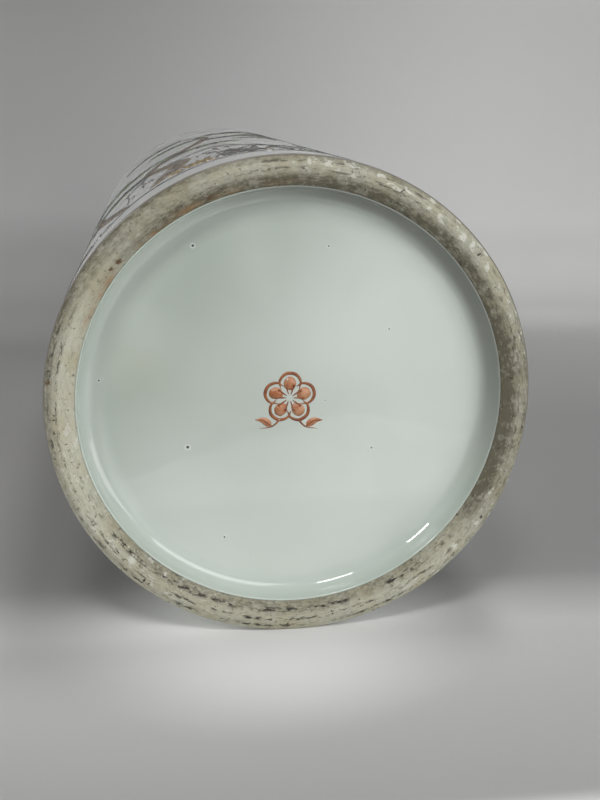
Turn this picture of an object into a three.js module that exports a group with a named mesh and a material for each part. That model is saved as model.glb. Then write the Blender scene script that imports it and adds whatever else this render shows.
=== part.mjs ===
// A porcelain hat stand: a straight round tube, open at the mouth, on a turned and unglazed foot.
// The base is a slab set on a ledge inside the foot. The tube is thrown in two drums, luted with slip.
// Each formed clay part, seam of slip and coat of glaze is a mesh of its own. Millimetres, +Z up,
// with the origin at the centre of the foot, on the surface that the stand rests on.
import * as THREE from "three";

// Driving dimensions
const HEIGHT = 285;
const OUTER_DIAMETER = 120;
const CLAY_WALL = 4.6;
const GLAZE_COAT = 0.4;

const FOOT_WIDTH = 7.4; // from the clay's outer face to the inside of the foot
const FOOT_LAND = 2.6; // the flat that touches the table
const FOOT_OUTER_BEVEL = 1.4; // equal in width and height
const FOOT_INNER_BEVEL_HEIGHT = 1.8;
const RECESS_DEPTH = 8; // from the table up to the underside of the base slab
const GLAZE_SETBACK = 0.4; // bare clay between a bevel's top and the edge of the glaze

const BASE_THICKNESS = 6;
const UNDER_FILLET = 4; // radius of the wiped slip under the base
const INNER_FILLET = 4; // radius of the wiped slip inside, on the base

const SEAM_HEIGHT = 142; // where the lower drum meets the upper one
const RIDGE_HEIGHT = 6; // the band of slip left inside along that seam
const RIDGE_RISE = 0.8;
const RIDGE_SLOPE = 1.5; // height over which the band fades into the wall

const LIP_HEIGHT = 6;
const LIP_SWELL = 0.6; // how far the lip thickens inwards
const LIP_ROUNDING = 1.7;

const SEGMENTS = 60; // facets round the stand
const ARC_STEPS = 4; // facets along a fillet or a rounding

// Radii and heights worked out from them
const glazeRadius = OUTER_DIAMETER / 2;
const clayRadius = glazeRadius - GLAZE_COAT;
const boreRadius = clayRadius - CLAY_WALL;
const innerGlazeRadius = boreRadius - GLAZE_COAT;
const footInnerRadius = clayRadius - FOOT_WIDTH;
const landOuterRadius = clayRadius - FOOT_OUTER_BEVEL;
const landInnerRadius = landOuterRadius - FOOT_LAND;
const baseTop = RECESS_DEPTH + BASE_THICKNESS;
const lipBottom = HEIGHT - LIP_HEIGHT;
const lipInnerRadius = innerGlazeRadius - LIP_SWELL;

// Finishes
const biscuit = new THREE.MeshStandardMaterial({ color: 0xb9b4a2, roughness: 0.9, metalness: 0 });
const paste = new THREE.MeshStandardMaterial({ color: 0xdcdad2, roughness: 0.8, metalness: 0 });
const slip = new THREE.MeshStandardMaterial({ color: 0xd3d1c8, roughness: 0.85, metalness: 0 });
const wallGlaze = new THREE.MeshStandardMaterial({ color: 0xdfe1dd, roughness: 0.12, metalness: 0 });
const baseGlaze = new THREE.MeshStandardMaterial({ color: 0xc3d1ca, roughness: 0.1, metalness: 0 });

const point = (radius, height) => new THREE.Vector2(radius, height);

// Points of a quarter circle about a centre, between two angles in quarter turns from straight out.
function arc(centreRadius, centreHeight, radius, fromQuarter, toQuarter) {
  const points = [];
  for (let i = 0; i <= ARC_STEPS; i++) {
    const angle = (Math.PI / 2) * (fromQuarter + ((toQuarter - fromQuarter) * i) / ARC_STEPS);
    points.push(point(centreRadius + radius * Math.cos(angle), centreHeight + radius * Math.sin(angle)));
  }
  return points;
}

// A named piece turned about +Z. The profile runs anticlockwise, with radius to the right and
// height upwards, and closes on itself unless it starts and ends on the axis.
function turned(name, material, profile) {
  const onAxis = profile[0].x === 0;
  const outline = onAxis ? profile : [...profile, profile[0].clone()];
  const mesh = new THREE.Mesh(new THREE.LatheGeometry(outline, SEGMENTS), material);
  mesh.name = name;
  mesh.rotation.x = Math.PI / 2;
  return mesh;
}

// Unglazed foot: a flat land between an outer and an inner bevel, with a ledge on top for the base.
function footRing() {
  return turned("foot_ring", biscuit, [
    point(footInnerRadius, FOOT_INNER_BEVEL_HEIGHT),
    point(landInnerRadius, 0),
    point(landOuterRadius, 0),
    point(clayRadius, FOOT_OUTER_BEVEL),
    point(clayRadius, RECESS_DEPTH),
    point(footInnerRadius, RECESS_DEPTH),
  ]);
}

// Base slab, seated on the foot's ledge inside the lower drum.
function baseDisc() {
  return turned("base_disc", paste, [
    point(0, RECESS_DEPTH),
    point(boreRadius, RECESS_DEPTH),
    point(boreRadius, baseTop),
    point(0, baseTop),
  ]);
}

// One thrown drum of the wall, between two heights.
function drum(name, bottom, top) {
  return turned(name, paste, [
    point(boreRadius, bottom),
    point(clayRadius, bottom),
    point(clayRadius, top),
    point(boreRadius, top),
  ]);
}

// Lip of the mouth, flush outside, a little thicker inside, rounded to a narrow flat on top.
function mouthRim() {
  return turned("mouth_rim", wallGlaze, [
    point(lipInnerRadius, lipBottom),
    point(glazeRadius, lipBottom),
    ...arc(glazeRadius - LIP_ROUNDING, HEIGHT - LIP_ROUNDING, LIP_ROUNDING, 0, 1),
    ...arc(lipInnerRadius + LIP_ROUNDING, HEIGHT - LIP_ROUNDING, LIP_ROUNDING, 1, 2),
  ]);
}

// Wiped slip in the corner under the base, inside the foot.
function underBaseSlip() {
  return turned("under_base_slip", slip, [
    point(footInnerRadius, RECESS_DEPTH),
    ...arc(footInnerRadius - UNDER_FILLET, RECESS_DEPTH - UNDER_FILLET, UNDER_FILLET, 1, 0),
  ]);
}

// Wiped slip in the corner on top of the base, inside the tube.
function innerBaseSlip() {
  return turned("inner_base_slip", slip, [
    point(boreRadius, baseTop),
    ...arc(boreRadius - INNER_FILLET, baseTop + INNER_FILLET, INNER_FILLET, 0, -1),
  ]);
}

// The low band inside the tube along the seam of the two drums, at a radius from the axis.
function ridgeLine(radius) {
  return [
    point(radius, SEAM_HEIGHT - RIDGE_HEIGHT / 2),
    point(radius - RIDGE_RISE, SEAM_HEIGHT - RIDGE_HEIGHT / 2 + RIDGE_SLOPE),
    point(radius - RIDGE_RISE, SEAM_HEIGHT + RIDGE_HEIGHT / 2 - RIDGE_SLOPE),
    point(radius, SEAM_HEIGHT + RIDGE_HEIGHT / 2),
  ];
}

// Slip left inside along the seam of the two drums.
function wallSeamSlip() {
  return turned("wall_seam_slip", slip, ridgeLine(boreRadius).reverse());
}

// Glaze outside, from just above the foot's bevel to the lip, with a rounded lower edge.
function outerGlaze() {
  const edge = FOOT_OUTER_BEVEL + GLAZE_SETBACK;
  return turned("outer_glaze", wallGlaze, [
    point(clayRadius, edge),
    ...arc(clayRadius, edge + GLAZE_COAT, GLAZE_COAT, -1, 0).slice(1),
    point(glazeRadius, lipBottom),
    point(clayRadius, lipBottom),
  ]);
}

// Glaze inside: over the base, the fillet, the wall and the seam's band, up to the lip.
function innerGlaze() {
  const filletCentre = [boreRadius - INNER_FILLET, baseTop + INNER_FILLET];
  return turned("inner_glaze", wallGlaze, [
    point(0, baseTop),
    ...arc(...filletCentre, INNER_FILLET, -1, 0),
    ...ridgeLine(boreRadius),
    point(boreRadius, lipBottom),
    point(innerGlazeRadius, lipBottom),
    ...ridgeLine(innerGlazeRadius).reverse(),
    ...arc(...filletCentre, INNER_FILLET - GLAZE_COAT, 0, -1),
    point(0, baseTop + GLAZE_COAT),
  ]);
}

// Glaze under the base: down the inside of the foot, round the fillet and over the slab.
function underGlaze() {
  const edge = FOOT_INNER_BEVEL_HEIGHT + GLAZE_SETBACK;
  const filletCentre = [footInnerRadius - UNDER_FILLET, RECESS_DEPTH - UNDER_FILLET];
  return turned("base_glaze", baseGlaze, [
    point(0, RECESS_DEPTH - GLAZE_COAT),
    ...arc(...filletCentre, UNDER_FILLET - GLAZE_COAT, 1, 0),
    ...arc(footInnerRadius, edge + GLAZE_COAT, GLAZE_COAT, 2, 3),
    ...arc(...filletCentre, UNDER_FILLET, 0, 1),
    point(0, RECESS_DEPTH),
  ]);
}

const hatStand = new THREE.Group();
hatStand.add(
  footRing(),
  underBaseSlip(),
  baseDisc(),
  innerBaseSlip(),
  drum("lower_drum", RECESS_DEPTH, SEAM_HEIGHT),
  wallSeamSlip(),
  drum("upper_drum", SEAM_HEIGHT, lipBottom),
  mouthRim(),
  outerGlaze(),
  innerGlaze(),
  underGlaze(),
);

export default hatStand;
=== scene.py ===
"""A porcelain hat stand: its fired and glazed surfaces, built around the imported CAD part.

The stand is upright in its own frame, with its foot at z = 0. It was photographed lying on its
side, from below its foot, so the photographed floor is a wall beside the upright stand, towards
+Y, and the camera is below the foot. Everything is in metres; sizes are given in millimetres and
turned into metres where a mesh is made.
"""

import logging
import math
import random
from collections.abc import Callable, Sequence
from dataclasses import dataclass, field
from enum import Enum

import bmesh
import bpy
from mathutils import Matrix, Vector, noise


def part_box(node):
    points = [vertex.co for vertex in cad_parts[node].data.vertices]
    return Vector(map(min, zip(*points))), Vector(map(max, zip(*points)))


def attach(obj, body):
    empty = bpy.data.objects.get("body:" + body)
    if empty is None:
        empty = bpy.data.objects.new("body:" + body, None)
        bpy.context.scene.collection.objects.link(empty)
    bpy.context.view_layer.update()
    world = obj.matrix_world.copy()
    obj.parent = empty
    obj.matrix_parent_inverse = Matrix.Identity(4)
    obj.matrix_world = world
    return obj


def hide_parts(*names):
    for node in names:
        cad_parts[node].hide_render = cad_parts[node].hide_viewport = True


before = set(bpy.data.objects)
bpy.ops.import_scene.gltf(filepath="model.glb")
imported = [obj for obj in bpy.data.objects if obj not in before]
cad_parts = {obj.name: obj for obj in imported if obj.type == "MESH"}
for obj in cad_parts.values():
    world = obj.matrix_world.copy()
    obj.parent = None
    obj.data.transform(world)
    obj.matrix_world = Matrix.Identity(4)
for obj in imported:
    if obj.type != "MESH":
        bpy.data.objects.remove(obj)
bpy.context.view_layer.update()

MM = 0.001
BODY = "root"

Color = tuple[float, float, float]
Socket = bpy.types.NodeSocket
Value = Socket | float

log = logging.getLogger("hat_stand")


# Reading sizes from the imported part

def node_box(node: str) -> tuple[Vector, Vector]:
    """Lowest and highest corner of a CAD node, in millimetres."""
    low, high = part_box(node)
    return low / MM, high / MM


@dataclass(frozen=True)
class StandSizes:
    """Radii and heights of the stand in millimetres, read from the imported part."""

    glaze_radius: float
    clay_radius: float
    bore_radius: float
    foot_inner_radius: float
    height: float
    lip_height: float
    ledge_height: float
    base_top: float
    outer_glaze_bottom: float
    seam_height: float
    coat: float

    @classmethod
    def from_part(cls) -> "StandSizes":
        """Measures the CAD nodes."""
        outer_low, outer_high = node_box("outer_glaze")
        foot_high = node_box("foot_ring")[1]
        disc_high = node_box("base_disc")[1]
        rim_low, rim_high = node_box("mouth_rim")
        drum_high = node_box("lower_drum")[1]
        return cls(
            glaze_radius=outer_high.x,
            clay_radius=foot_high.x,
            bore_radius=disc_high.x,
            foot_inner_radius=node_box("base_glaze")[1].x,
            height=rim_high.z,
            lip_height=rim_low.z,
            ledge_height=foot_high.z,
            base_top=disc_high.z,
            outer_glaze_bottom=outer_low.z,
            seam_height=drum_high.z,
            coat=outer_high.x - foot_high.x,
        )

    @property
    def underside(self) -> float:
        """Height of the glazed underside of the base."""
        return self.ledge_height - self.coat


# Shaping

Point = tuple[float, float]
SECTORS = 20
WELD = 2e-6


def arc(centre: Point, radius: float, start: float, end: float, steps: int = 8) -> list[Point]:
    """Points on an arc of radius and height, between two angles in degrees from straight outwards."""
    angles = [math.radians(start + (end - start) * i / steps) for i in range(steps + 1)]
    return [(centre[0] + radius * math.cos(a), centre[1] + radius * math.sin(a)) for a in angles]


def straight(start: Point, end: Point, steps: int) -> list[Point]:
    """Points that divide the line from start to end into equal parts, without the start."""
    fractions = [i / steps for i in range(1, steps + 1)]
    return [(start[0] + (end[0] - start[0]) * t, start[1] + (end[1] - start[1]) * t) for t in fractions]


def turned(profile: Sequence[Point], steps: int) -> bmesh.types.BMesh:
    """Spins a profile about the upright axis into a closed mesh.

    Args:
        profile: radius and height of each point, in millimetres. It is closed back to its first
            point unless it starts and ends on the axis.
        steps: facets round the axis.

    Returns:
        The mesh, in metres, with its normals outwards.
    """
    mesh = bmesh.new()
    points = [mesh.verts.new((r * MM, 0.0, z * MM)) for r, z in profile]
    edges = [mesh.edges.new(pair) for pair in zip(points, points[1:])]
    if profile[0][0] > 0:
        edges.append(mesh.edges.new((points[-1], points[0])))
    about = {"cent": (0, 0, 0), "axis": (0, 0, 1)}
    part = math.tau / SECTORS
    bmesh.ops.spin(mesh, geom=points + edges, angle=part, steps=steps // SECTORS, **about)
    whole = mesh.verts[:] + mesh.edges[:] + mesh.faces[:]
    bmesh.ops.spin(mesh, geom=whole, angle=math.tau - part, steps=SECTORS - 1, use_duplicate=True, **about)
    bmesh.ops.remove_doubles(mesh, verts=mesh.verts, dist=WELD)
    bmesh.ops.recalc_face_normals(mesh, faces=mesh.faces)
    return mesh


def make_object(name: str, mesh: bmesh.types.BMesh, material: bpy.types.Material) -> bpy.types.Object:
    """Turns a mesh into a smooth object.

    Args:
        name: the object's name.
        mesh: its shape, which is freed.
        material: its finish.

    Returns:
        The new object.
    """
    for face in mesh.faces:
        face.smooth = True
    data = bpy.data.meshes.new(name)
    mesh.to_mesh(data)
    mesh.free()
    data.materials.append(material)
    made = bpy.data.objects.new(name, data)
    bpy.context.scene.collection.objects.link(made)
    return made


def finish_piece(name: str, mesh: bmesh.types.BMesh, material: bpy.types.Material,
                 replaces: str | None = None) -> bpy.types.Object:
    """Makes a smooth piece that rides on the stand.

    Args:
        name: the piece's name.
        mesh: its shape, which is freed.
        material: its finish.
        replaces: the CAD node that it stands for, if any.

    Returns:
        The new object.
    """
    piece = make_object(name, mesh, material)
    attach(piece, BODY)
    if replaces:
        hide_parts(replaces)
    log.info("%s: %d faces", name, len(piece.data.polygons))
    return piece


# Shading

class Graph:
    """A node tree and short ways to add to it."""

    def __init__(self, tree: bpy.types.NodeTree) -> None:
        """Keeps the tree."""
        self.tree = tree

    def node(self, kind: str, **settings: object) -> bpy.types.Node:
        """Adds a node and sets its properties.

        Args:
            kind: the node's type without its ShaderNode prefix.
            settings: property names and values.

        Returns:
            The node.
        """
        made = self.tree.nodes.new("ShaderNode" + kind)
        for name, value in settings.items():
            setattr(made, name, value)
        return made

    def feed(self, socket: Socket, value: Value | Sequence[float]) -> None:
        """Links a socket into an input, or sets the input to a value.

        Args:
            socket: the input.
            value: another node's output, a number, a vector or a colour.
        """
        if isinstance(value, bpy.types.NodeSocket):
            self.tree.links.new(value, socket)
        elif socket.type == "RGBA" and not isinstance(value, (int, float)):
            socket.default_value = (*value[:3], 1.0)
        else:
            socket.default_value = value

    def math(self, operation: str, *values: Value, clamp: bool = False) -> Socket:
        """Adds a Math node.

        Args:
            operation: Blender's name of it.
            values: its inputs.
            clamp: whether the result stays between 0 and 1.

        Returns:
            The result.
        """
        made = self.node("Math", operation=operation, use_clamp=clamp)
        for socket, value in zip(made.inputs, values):
            self.feed(socket, value)
        return made.outputs[0]

    def times(self, first: Value, *more: Value) -> Socket:
        """Multiplies values, one after the other.

        Args:
            first: the first factor.
            more: the other factors, in order.

        Returns:
            The product.
        """
        for value in more:
            first = self.math("MULTIPLY", first, value)
        return first

    def plus(self, first: Value, second: Value) -> Socket:
        """Adds two values."""
        return self.math("ADD", first, second)

    def minus(self, first: Value, second: Value) -> Socket:
        """Takes the second value from the first."""
        return self.math("SUBTRACT", first, second)

    def length(self, x: Value, y: Value) -> Socket:
        """Length of a flat vector."""
        return self.math("SQRT", self.plus(self.times(x, x), self.times(y, y)))

    def toward(self, x: Value, y: Value, way: Point) -> Socket:
        """How far a flat place lies in a direction."""
        return self.plus(self.times(x, way[0]), self.times(y, way[1]))

    def fade(self, value: Value, low: float, high: float) -> Socket:
        """Rises smoothly from 0 to 1, or falls where low is the larger.

        Args:
            value: what it depends on.
            low: where it is 0.
            high: where it is 1.

        Returns:
            The share.
        """
        made = self.node("MapRange", interpolation_type="SMOOTHSTEP")
        ends = (high, low, 1.0, 0.0) if low > high else (low, high, 0.0, 1.0)
        self.feed(made.inputs[0], value)
        for socket, end in zip(list(made.inputs)[1:5], ends):
            socket.default_value = end
        return made.outputs[0]

    def place(self) -> Socket:
        """Object coordinates."""
        return self.node("TexCoord").outputs["Object"]

    def parts(self, vector: Socket) -> tuple[Socket, Socket, Socket]:
        """Splits a vector.

        Args:
            vector: the vector.

        Returns:
            Its X, Y and Z.
        """
        made = self.node("SeparateXYZ")
        self.feed(made.inputs[0], vector)
        return made.outputs[0], made.outputs[1], made.outputs[2]

    def vector(self, x: Value, y: Value, z: Value) -> Socket:
        """Joins three values.

        Args:
            x: the first value.
            y: the second value.
            z: the third value.

        Returns:
            The vector.
        """
        made = self.node("CombineXYZ")
        for socket, value in zip(made.inputs, (x, y, z)):
            self.feed(socket, value)
        return made.outputs[0]

    def noise(self, where: Socket, scale: float, detail: float = 3.0, roughness: float = 0.55,
              distortion: float = 0.0) -> Socket:
        """Adds a Noise Texture.

        Args:
            where: coordinates.
            scale: patches per unit of the coordinates.
            detail: finer layers.
            roughness: strength of those.
            distortion: how far it is stirred.

        Returns:
            The grey value, about 0.25 to 0.75.
        """
        made = self.node("TexNoise")
        self.feed(made.inputs["Vector"], where)
        for name, value in (("Scale", scale), ("Detail", detail), ("Roughness", roughness),
                            ("Distortion", distortion)):
            made.inputs[name].default_value = value
        return made.outputs["Fac"]

    def mix(self, amount: Value, first: Value | Color, second: Value | Color) -> Socket:
        """Mixes two colours.

        Args:
            amount: share of the second colour.
            first: the colour underneath.
            second: the colour on top.

        Returns:
            The mixed colour.
        """
        made = self.node("Mix", data_type="RGBA", blend_type="MIX")
        self.feed(made.inputs[0], amount)
        self.feed(made.inputs[6], first)
        self.feed(made.inputs[7], second)
        return made.outputs[2]

    def use(self, group: bpy.types.NodeTree, **values: Value | Sequence[float]) -> bpy.types.Node:
        """Places a node group and sets its inputs by name, with _ for a space.

        Args:
            group: the node group.
            values: its inputs.

        Returns:
            The group's node.
        """
        made = self.node("Group", node_tree=group)
        for name, value in values.items():
            self.feed(made.inputs[name.replace("_", " ")], value)
        return made

    def bump(self, height: Socket, distance: float, normal: Socket | None = None) -> Socket:
        """Adds a Bump node.

        Args:
            height: 0 to 1.
            distance: height of 1, in metres.
            normal: the normal that it starts from.

        Returns:
            The bumped normal.
        """
        made = self.node("Bump")
        made.inputs["Strength"].default_value = 1.0
        made.inputs["Distance"].default_value = distance
        self.feed(made.inputs["Height"], height)
        if normal is not None:
            self.feed(made.inputs["Normal"], normal)
        return made.outputs[0]


def new_group(name: str, inputs: dict[str, str],
              outputs: dict[str, str]) -> tuple[Graph, dict[str, Socket], bpy.types.Node]:
    """Starts a shader node group with named sockets.

    Args:
        name: the group's name.
        inputs: each input's name and kind, such as Float, Vector or Color.
        outputs: each output's name and kind.

    Returns:
        A graph of the group, its inputs by name and its output node.
    """
    tree = bpy.data.node_groups.new(name, "ShaderNodeTree")
    for way, sockets in (("INPUT", inputs), ("OUTPUT", outputs)):
        for socket_name, kind in sockets.items():
            tree.interface.new_socket(name=socket_name, in_out=way, socket_type="NodeSocket" + kind)
    graph = Graph(tree)
    source = tree.nodes.new("NodeGroupInput")
    target = tree.nodes.new("NodeGroupOutput")
    return graph, {key: source.outputs[key] for key in inputs}, target


def make_round_place() -> bpy.types.NodeTree:
    """Group that gives a point's turn round the stand, its radius and its height.

    Returns:
        The group. Turn is in radians from +X, Radius and Height are in millimetres, and Around
        is the level unit vector from the axis towards the point.
    """
    graph, given, target = new_group(
        "round_place", {"Place": "Vector"},
        {"Turn": "Float", "Radius": "Float", "Height": "Float", "Around": "Vector"},
    )
    x, y, z = graph.parts(given["Place"])
    turn = graph.math("ARCTAN2", y, x)
    radius = graph.math("DIVIDE", graph.length(x, y), MM)
    height = graph.math("DIVIDE", z, MM)
    side = graph.vector(graph.math("COSINE", turn), graph.math("SINE", turn), 0.0)
    graph.feed(target.inputs["Turn"], turn)
    graph.feed(target.inputs["Radius"], radius)
    graph.feed(target.inputs["Height"], height)
    graph.feed(target.inputs["Around"], side)
    return graph.tree


def make_specks() -> bpy.types.NodeTree:
    """Group that scatters small uneven specks.

    Returns:
        The group. Scale is the spacing's inverse, Amount from 0 to 1 is how much is covered, and
        Softness is how gently a speck begins.
    """
    graph, given, target = new_group(
        "specks", {"Place": "Vector", "Scale": "Float", "Amount": "Float", "Softness": "Float"},
        {"Mask": "Float"},
    )
    made = graph.node("TexNoise")
    graph.feed(made.inputs["Vector"], given["Place"])
    graph.feed(made.inputs["Scale"], given["Scale"])
    made.inputs["Detail"].default_value = 4.0
    made.inputs["Roughness"].default_value = 0.62
    edge = graph.minus(0.78, graph.times(given["Amount"], 0.4))
    over = graph.minus(made.outputs["Fac"], edge)
    graph.feed(target.inputs["Mask"], graph.math("DIVIDE", over, given["Softness"], clamp=True))
    return graph.tree


def make_pinhole() -> bpy.types.NodeTree:
    """Group that marks one pinhole in the glaze and a painted highlight in a ring beside it.

    Returns:
        The group. Centre is in metres and Size in millimetres.
    """
    graph, given, target = new_group(
        "pinhole", {"Place": "Vector", "Centre": "Vector", "Size": "Float"},
        {"Dark": "Float", "Lip": "Float"},
    )
    away = graph.node("VectorMath", operation="DISTANCE")
    graph.feed(away.inputs[0], given["Place"])
    graph.feed(away.inputs[1], given["Centre"])
    apart = graph.math("DIVIDE", graph.math("DIVIDE", away.outputs["Value"], MM), given["Size"])
    dark = graph.fade(apart, 1.0, 0.35)
    # Painted highlight: a bright ring beside the hole.
    ring = graph.math("SUBTRACT", graph.fade(apart, 2.1, 1.1), dark, clamp=True)
    graph.feed(target.inputs["Dark"], dark)
    graph.feed(target.inputs["Lip"], ring)
    return graph.tree


@dataclass
class SharedGroups:
    """Node groups that more than one finish uses, each built once."""

    round_place: bpy.types.NodeTree = field(default_factory=make_round_place)
    specks: bpy.types.NodeTree = field(default_factory=make_specks)
    pinhole: bpy.types.NodeTree = field(default_factory=make_pinhole)


def new_material(name: str) -> tuple[bpy.types.Material, Graph, Socket]:
    """Starts a material.

    Args:
        name: its name.

    Returns:
        The material, its graph and the surface input of its output.
    """
    material = bpy.data.materials.new(name)
    material.use_nodes = True
    material.node_tree.nodes.clear()
    graph = Graph(material.node_tree)
    return material, graph, graph.node("OutputMaterial").inputs["Surface"]


class Finish:
    """A material whose nodes are laid out by a subclass."""

    name = "finish"

    def __init__(self, groups: SharedGroups) -> None:
        """Keeps the shared groups."""
        self.groups = groups

    def build(self) -> bpy.types.Material:
        """Makes the material.

        Returns:
            The material, with its nodes.
        """
        material, graph, surface = new_material(self.name)
        shader = graph.node("BsdfPrincipled")
        graph.feed(surface, shader.outputs[0])
        self.lay_out(graph, shader)
        return material

    def lay_out(self, graph: Graph, shader: bpy.types.Node) -> None:
        """Adds the finish's nodes.

        Args:
            graph: the material's nodes.
            shader: its Principled BSDF.
        """
        raise NotImplementedError


@dataclass(frozen=True)
class Spot:
    """A small mark on the base or the foot: X, Y and size in millimetres."""

    x: float
    y: float
    size: float


class BaseGlazeFinish(Finish):
    """Glossy pale blue-green glaze under the base, with faint stains, pinholes with painted highlights, and
    painted shade.
    """

    name = "base_glaze"
    tone: Color = (0.505, 0.553, 0.508)
    pale: Color = (0.545, 0.592, 0.55)
    stain: Color = (0.42, 0.43, 0.32)
    pit: Color = (0.05, 0.05, 0.045)
    # Centre and size of a broad darker patch near the middle of the base.
    stain_centre = Spot(-37.0, -7.0, 11.0)
    dark_patch_centre = Spot(-8.0, 8.0, 34.0)
    pinholes = (
        Spot(-24.5, -37.5, 0.42), Spot(-25.3, 12.8, 0.5), Spot(8.3, -38.0, 0.25),
        Spot(24.4, -17.7, 0.22), Spot(-47.0, -4.3, 0.3), Spot(21.5, 13.2, 0.25),
        Spot(-15.7, 37.0, 0.3), Spot(9.0, 0.7, 0.2),
    )
    wall_green: Color = (0.40, 0.455, 0.405)
    # Painted shade: grey that darkens the cove on its +X, -Y side, whose wall faces away from the key lamp.
    painted_cove_shade: Color = (0.205, 0.21, 0.19)
    # Grey of the painted shade on the base, and of the darker patch near its middle.
    shade_and_patch_grey: Color = (0.335, 0.375, 0.335)
    # Painted highlight colour, for the bright rims beside the pinholes.
    lip: Color = (0.74, 0.78, 0.75)
    cove_width = 5.5
    shade_way: Point = (0.70, -0.71)
    shade_band = (4.2, 1.0)
    # Painted shade: the flat of the base is darker towards -X and -Y.
    side_shade_way: Point = (0.8, 0.6)
    side_shade_reach = (0.006, -0.044)
    side_shade_edge = (1.5, 8.0)

    def __init__(self, groups: SharedGroups, sizes: StandSizes) -> None:
        """Keeps the shared groups and the stand's sizes."""
        super().__init__(groups)
        self.sizes = sizes

    def lay_out(self, graph: Graph, shader: bpy.types.Node) -> None:
        """Adds tone, the darker cove, painted shade on one side of the cove and of the base, a darker patch,
        stain, pinholes with painted highlights and ripples.

        Args:
            graph: the material's nodes.
            shader: its Principled BSDF.
        """
        place = graph.place()
        at = graph.use(self.groups.round_place, Place=place)
        drift = graph.noise(place, 28.0, 2.0)
        color = graph.mix(graph.fade(drift, 0.3, 0.7), self.tone, self.pale)
        radius, rim = at.outputs["Radius"], self.sizes.foot_inner_radius
        cove = graph.fade(radius, rim - self.cove_width, rim)
        color = graph.mix(graph.times(cove, 0.7), color, self.wall_green)
        side_x, side_y, _ = graph.parts(at.outputs["Around"])
        # Painted shade in the cove, on the +X, -Y side, where the wall faces away from the key lamp.
        shaded_side = graph.fade(graph.toward(side_x, side_y, self.shade_way), 0.1, 0.9)
        edge = graph.fade(radius, rim - self.shade_band[0], rim - self.shade_band[1])
        color = graph.mix(graph.times(edge, shaded_side, 0.85), color, self.painted_cove_shade)
        x, y, _ = graph.parts(place)
        # Painted shade: the flat of the base darker towards -X and -Y, away from the cove.
        side_shade = graph.times(
            graph.fade(graph.toward(x, y, self.side_shade_way), *self.side_shade_reach),
            graph.fade(graph.noise(place, 34.0, 1.0), 0.0, 0.5),
            graph.fade(radius, rim - self.side_shade_edge[0], rim - self.side_shade_edge[1]), 0.95)
        color = graph.mix(side_shade, color, self.shade_and_patch_grey)
        # A broad darker patch near the middle of the base.
        dark_patch = graph.times(self.near(graph, place, self.dark_patch_centre), 0.35)
        color = graph.mix(dark_patch, color, self.shade_and_patch_grey)
        stained = self.near(graph, place, self.stain_centre)
        patchy = graph.times(stained, graph.fade(graph.noise(place, 90.0, 3.0), 0.3, 0.7))
        color = graph.mix(graph.times(patchy, 0.5), color, self.stain)
        height = graph.noise(place, 120.0, 2.0)
        dark, lip = 0.0, 0.0
        for spot in self.pinholes:
            hole = graph.use(self.groups.pinhole, Place=place, Size=spot.size, Centre=(
                spot.x * MM, spot.y * MM, self.sizes.underside * MM))
            dark = graph.math("MAXIMUM", dark, hole.outputs["Dark"])
            lip = graph.math("MAXIMUM", lip, hole.outputs["Lip"])
        # Painted highlight: bright rims beside the pinholes.
        color = graph.mix(graph.times(lip, 0.45), color, self.lip)
        flecks = graph.use(self.groups.specks, Place=place, Scale=420.0, Amount=0.12, Softness=0.05)
        faint = graph.times(flecks.outputs["Mask"], 0.35)
        color = graph.mix(graph.math("MAXIMUM", dark, faint), color, self.pit)
        graph.feed(shader.inputs["Base Color"], color)
        wear = graph.noise(place, 60.0, 4.0)
        graph.feed(shader.inputs["Roughness"], graph.plus(0.006, graph.times(wear, 0.03)))
        ripples = graph.bump(height, 0.00004)
        pits = graph.bump(graph.minus(1.0, dark), 0.0003, normal=ripples)
        graph.feed(shader.inputs["Normal"], pits)

    @staticmethod
    def near(graph: Graph, place: Socket, spot: Spot) -> Socket:
        """Fades from 1 at a spot's centre to 0 at its size.

        Args:
            graph: the material's nodes.
            place: Object coordinates.
            spot: where and how wide.

        Returns:
            The mask.
        """
        x, y, _ = graph.parts(place)
        across = graph.minus(x, spot.x * MM)
        along = graph.minus(y, spot.y * MM)
        return graph.fade(graph.length(across, along), spot.size * MM, 0.0)


@dataclass(frozen=True)
class CoverZone:
    """A part of the foot where a cover, such as dirt with painted shade, or scale, lies thicker or thinner.

    Turn is in degrees, anticlockwise as seen from below; reach holds the cosines of the angle
    from it at which the zone starts and is full, and band the radii at which it starts and is full.
    """

    turn: float
    reach: tuple[float, float]
    band: tuple[float, float]
    depth: float


@dataclass(frozen=True)
class RingPlace:
    """Where a point of the foot is.

    Place is its Object coordinates, shaken the same with a fine wobble and no height, radius is in
    millimetres and around is the level unit vector from the axis.
    """

    place: Socket
    shaken: Socket
    radius: Socket
    around: Socket


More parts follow.
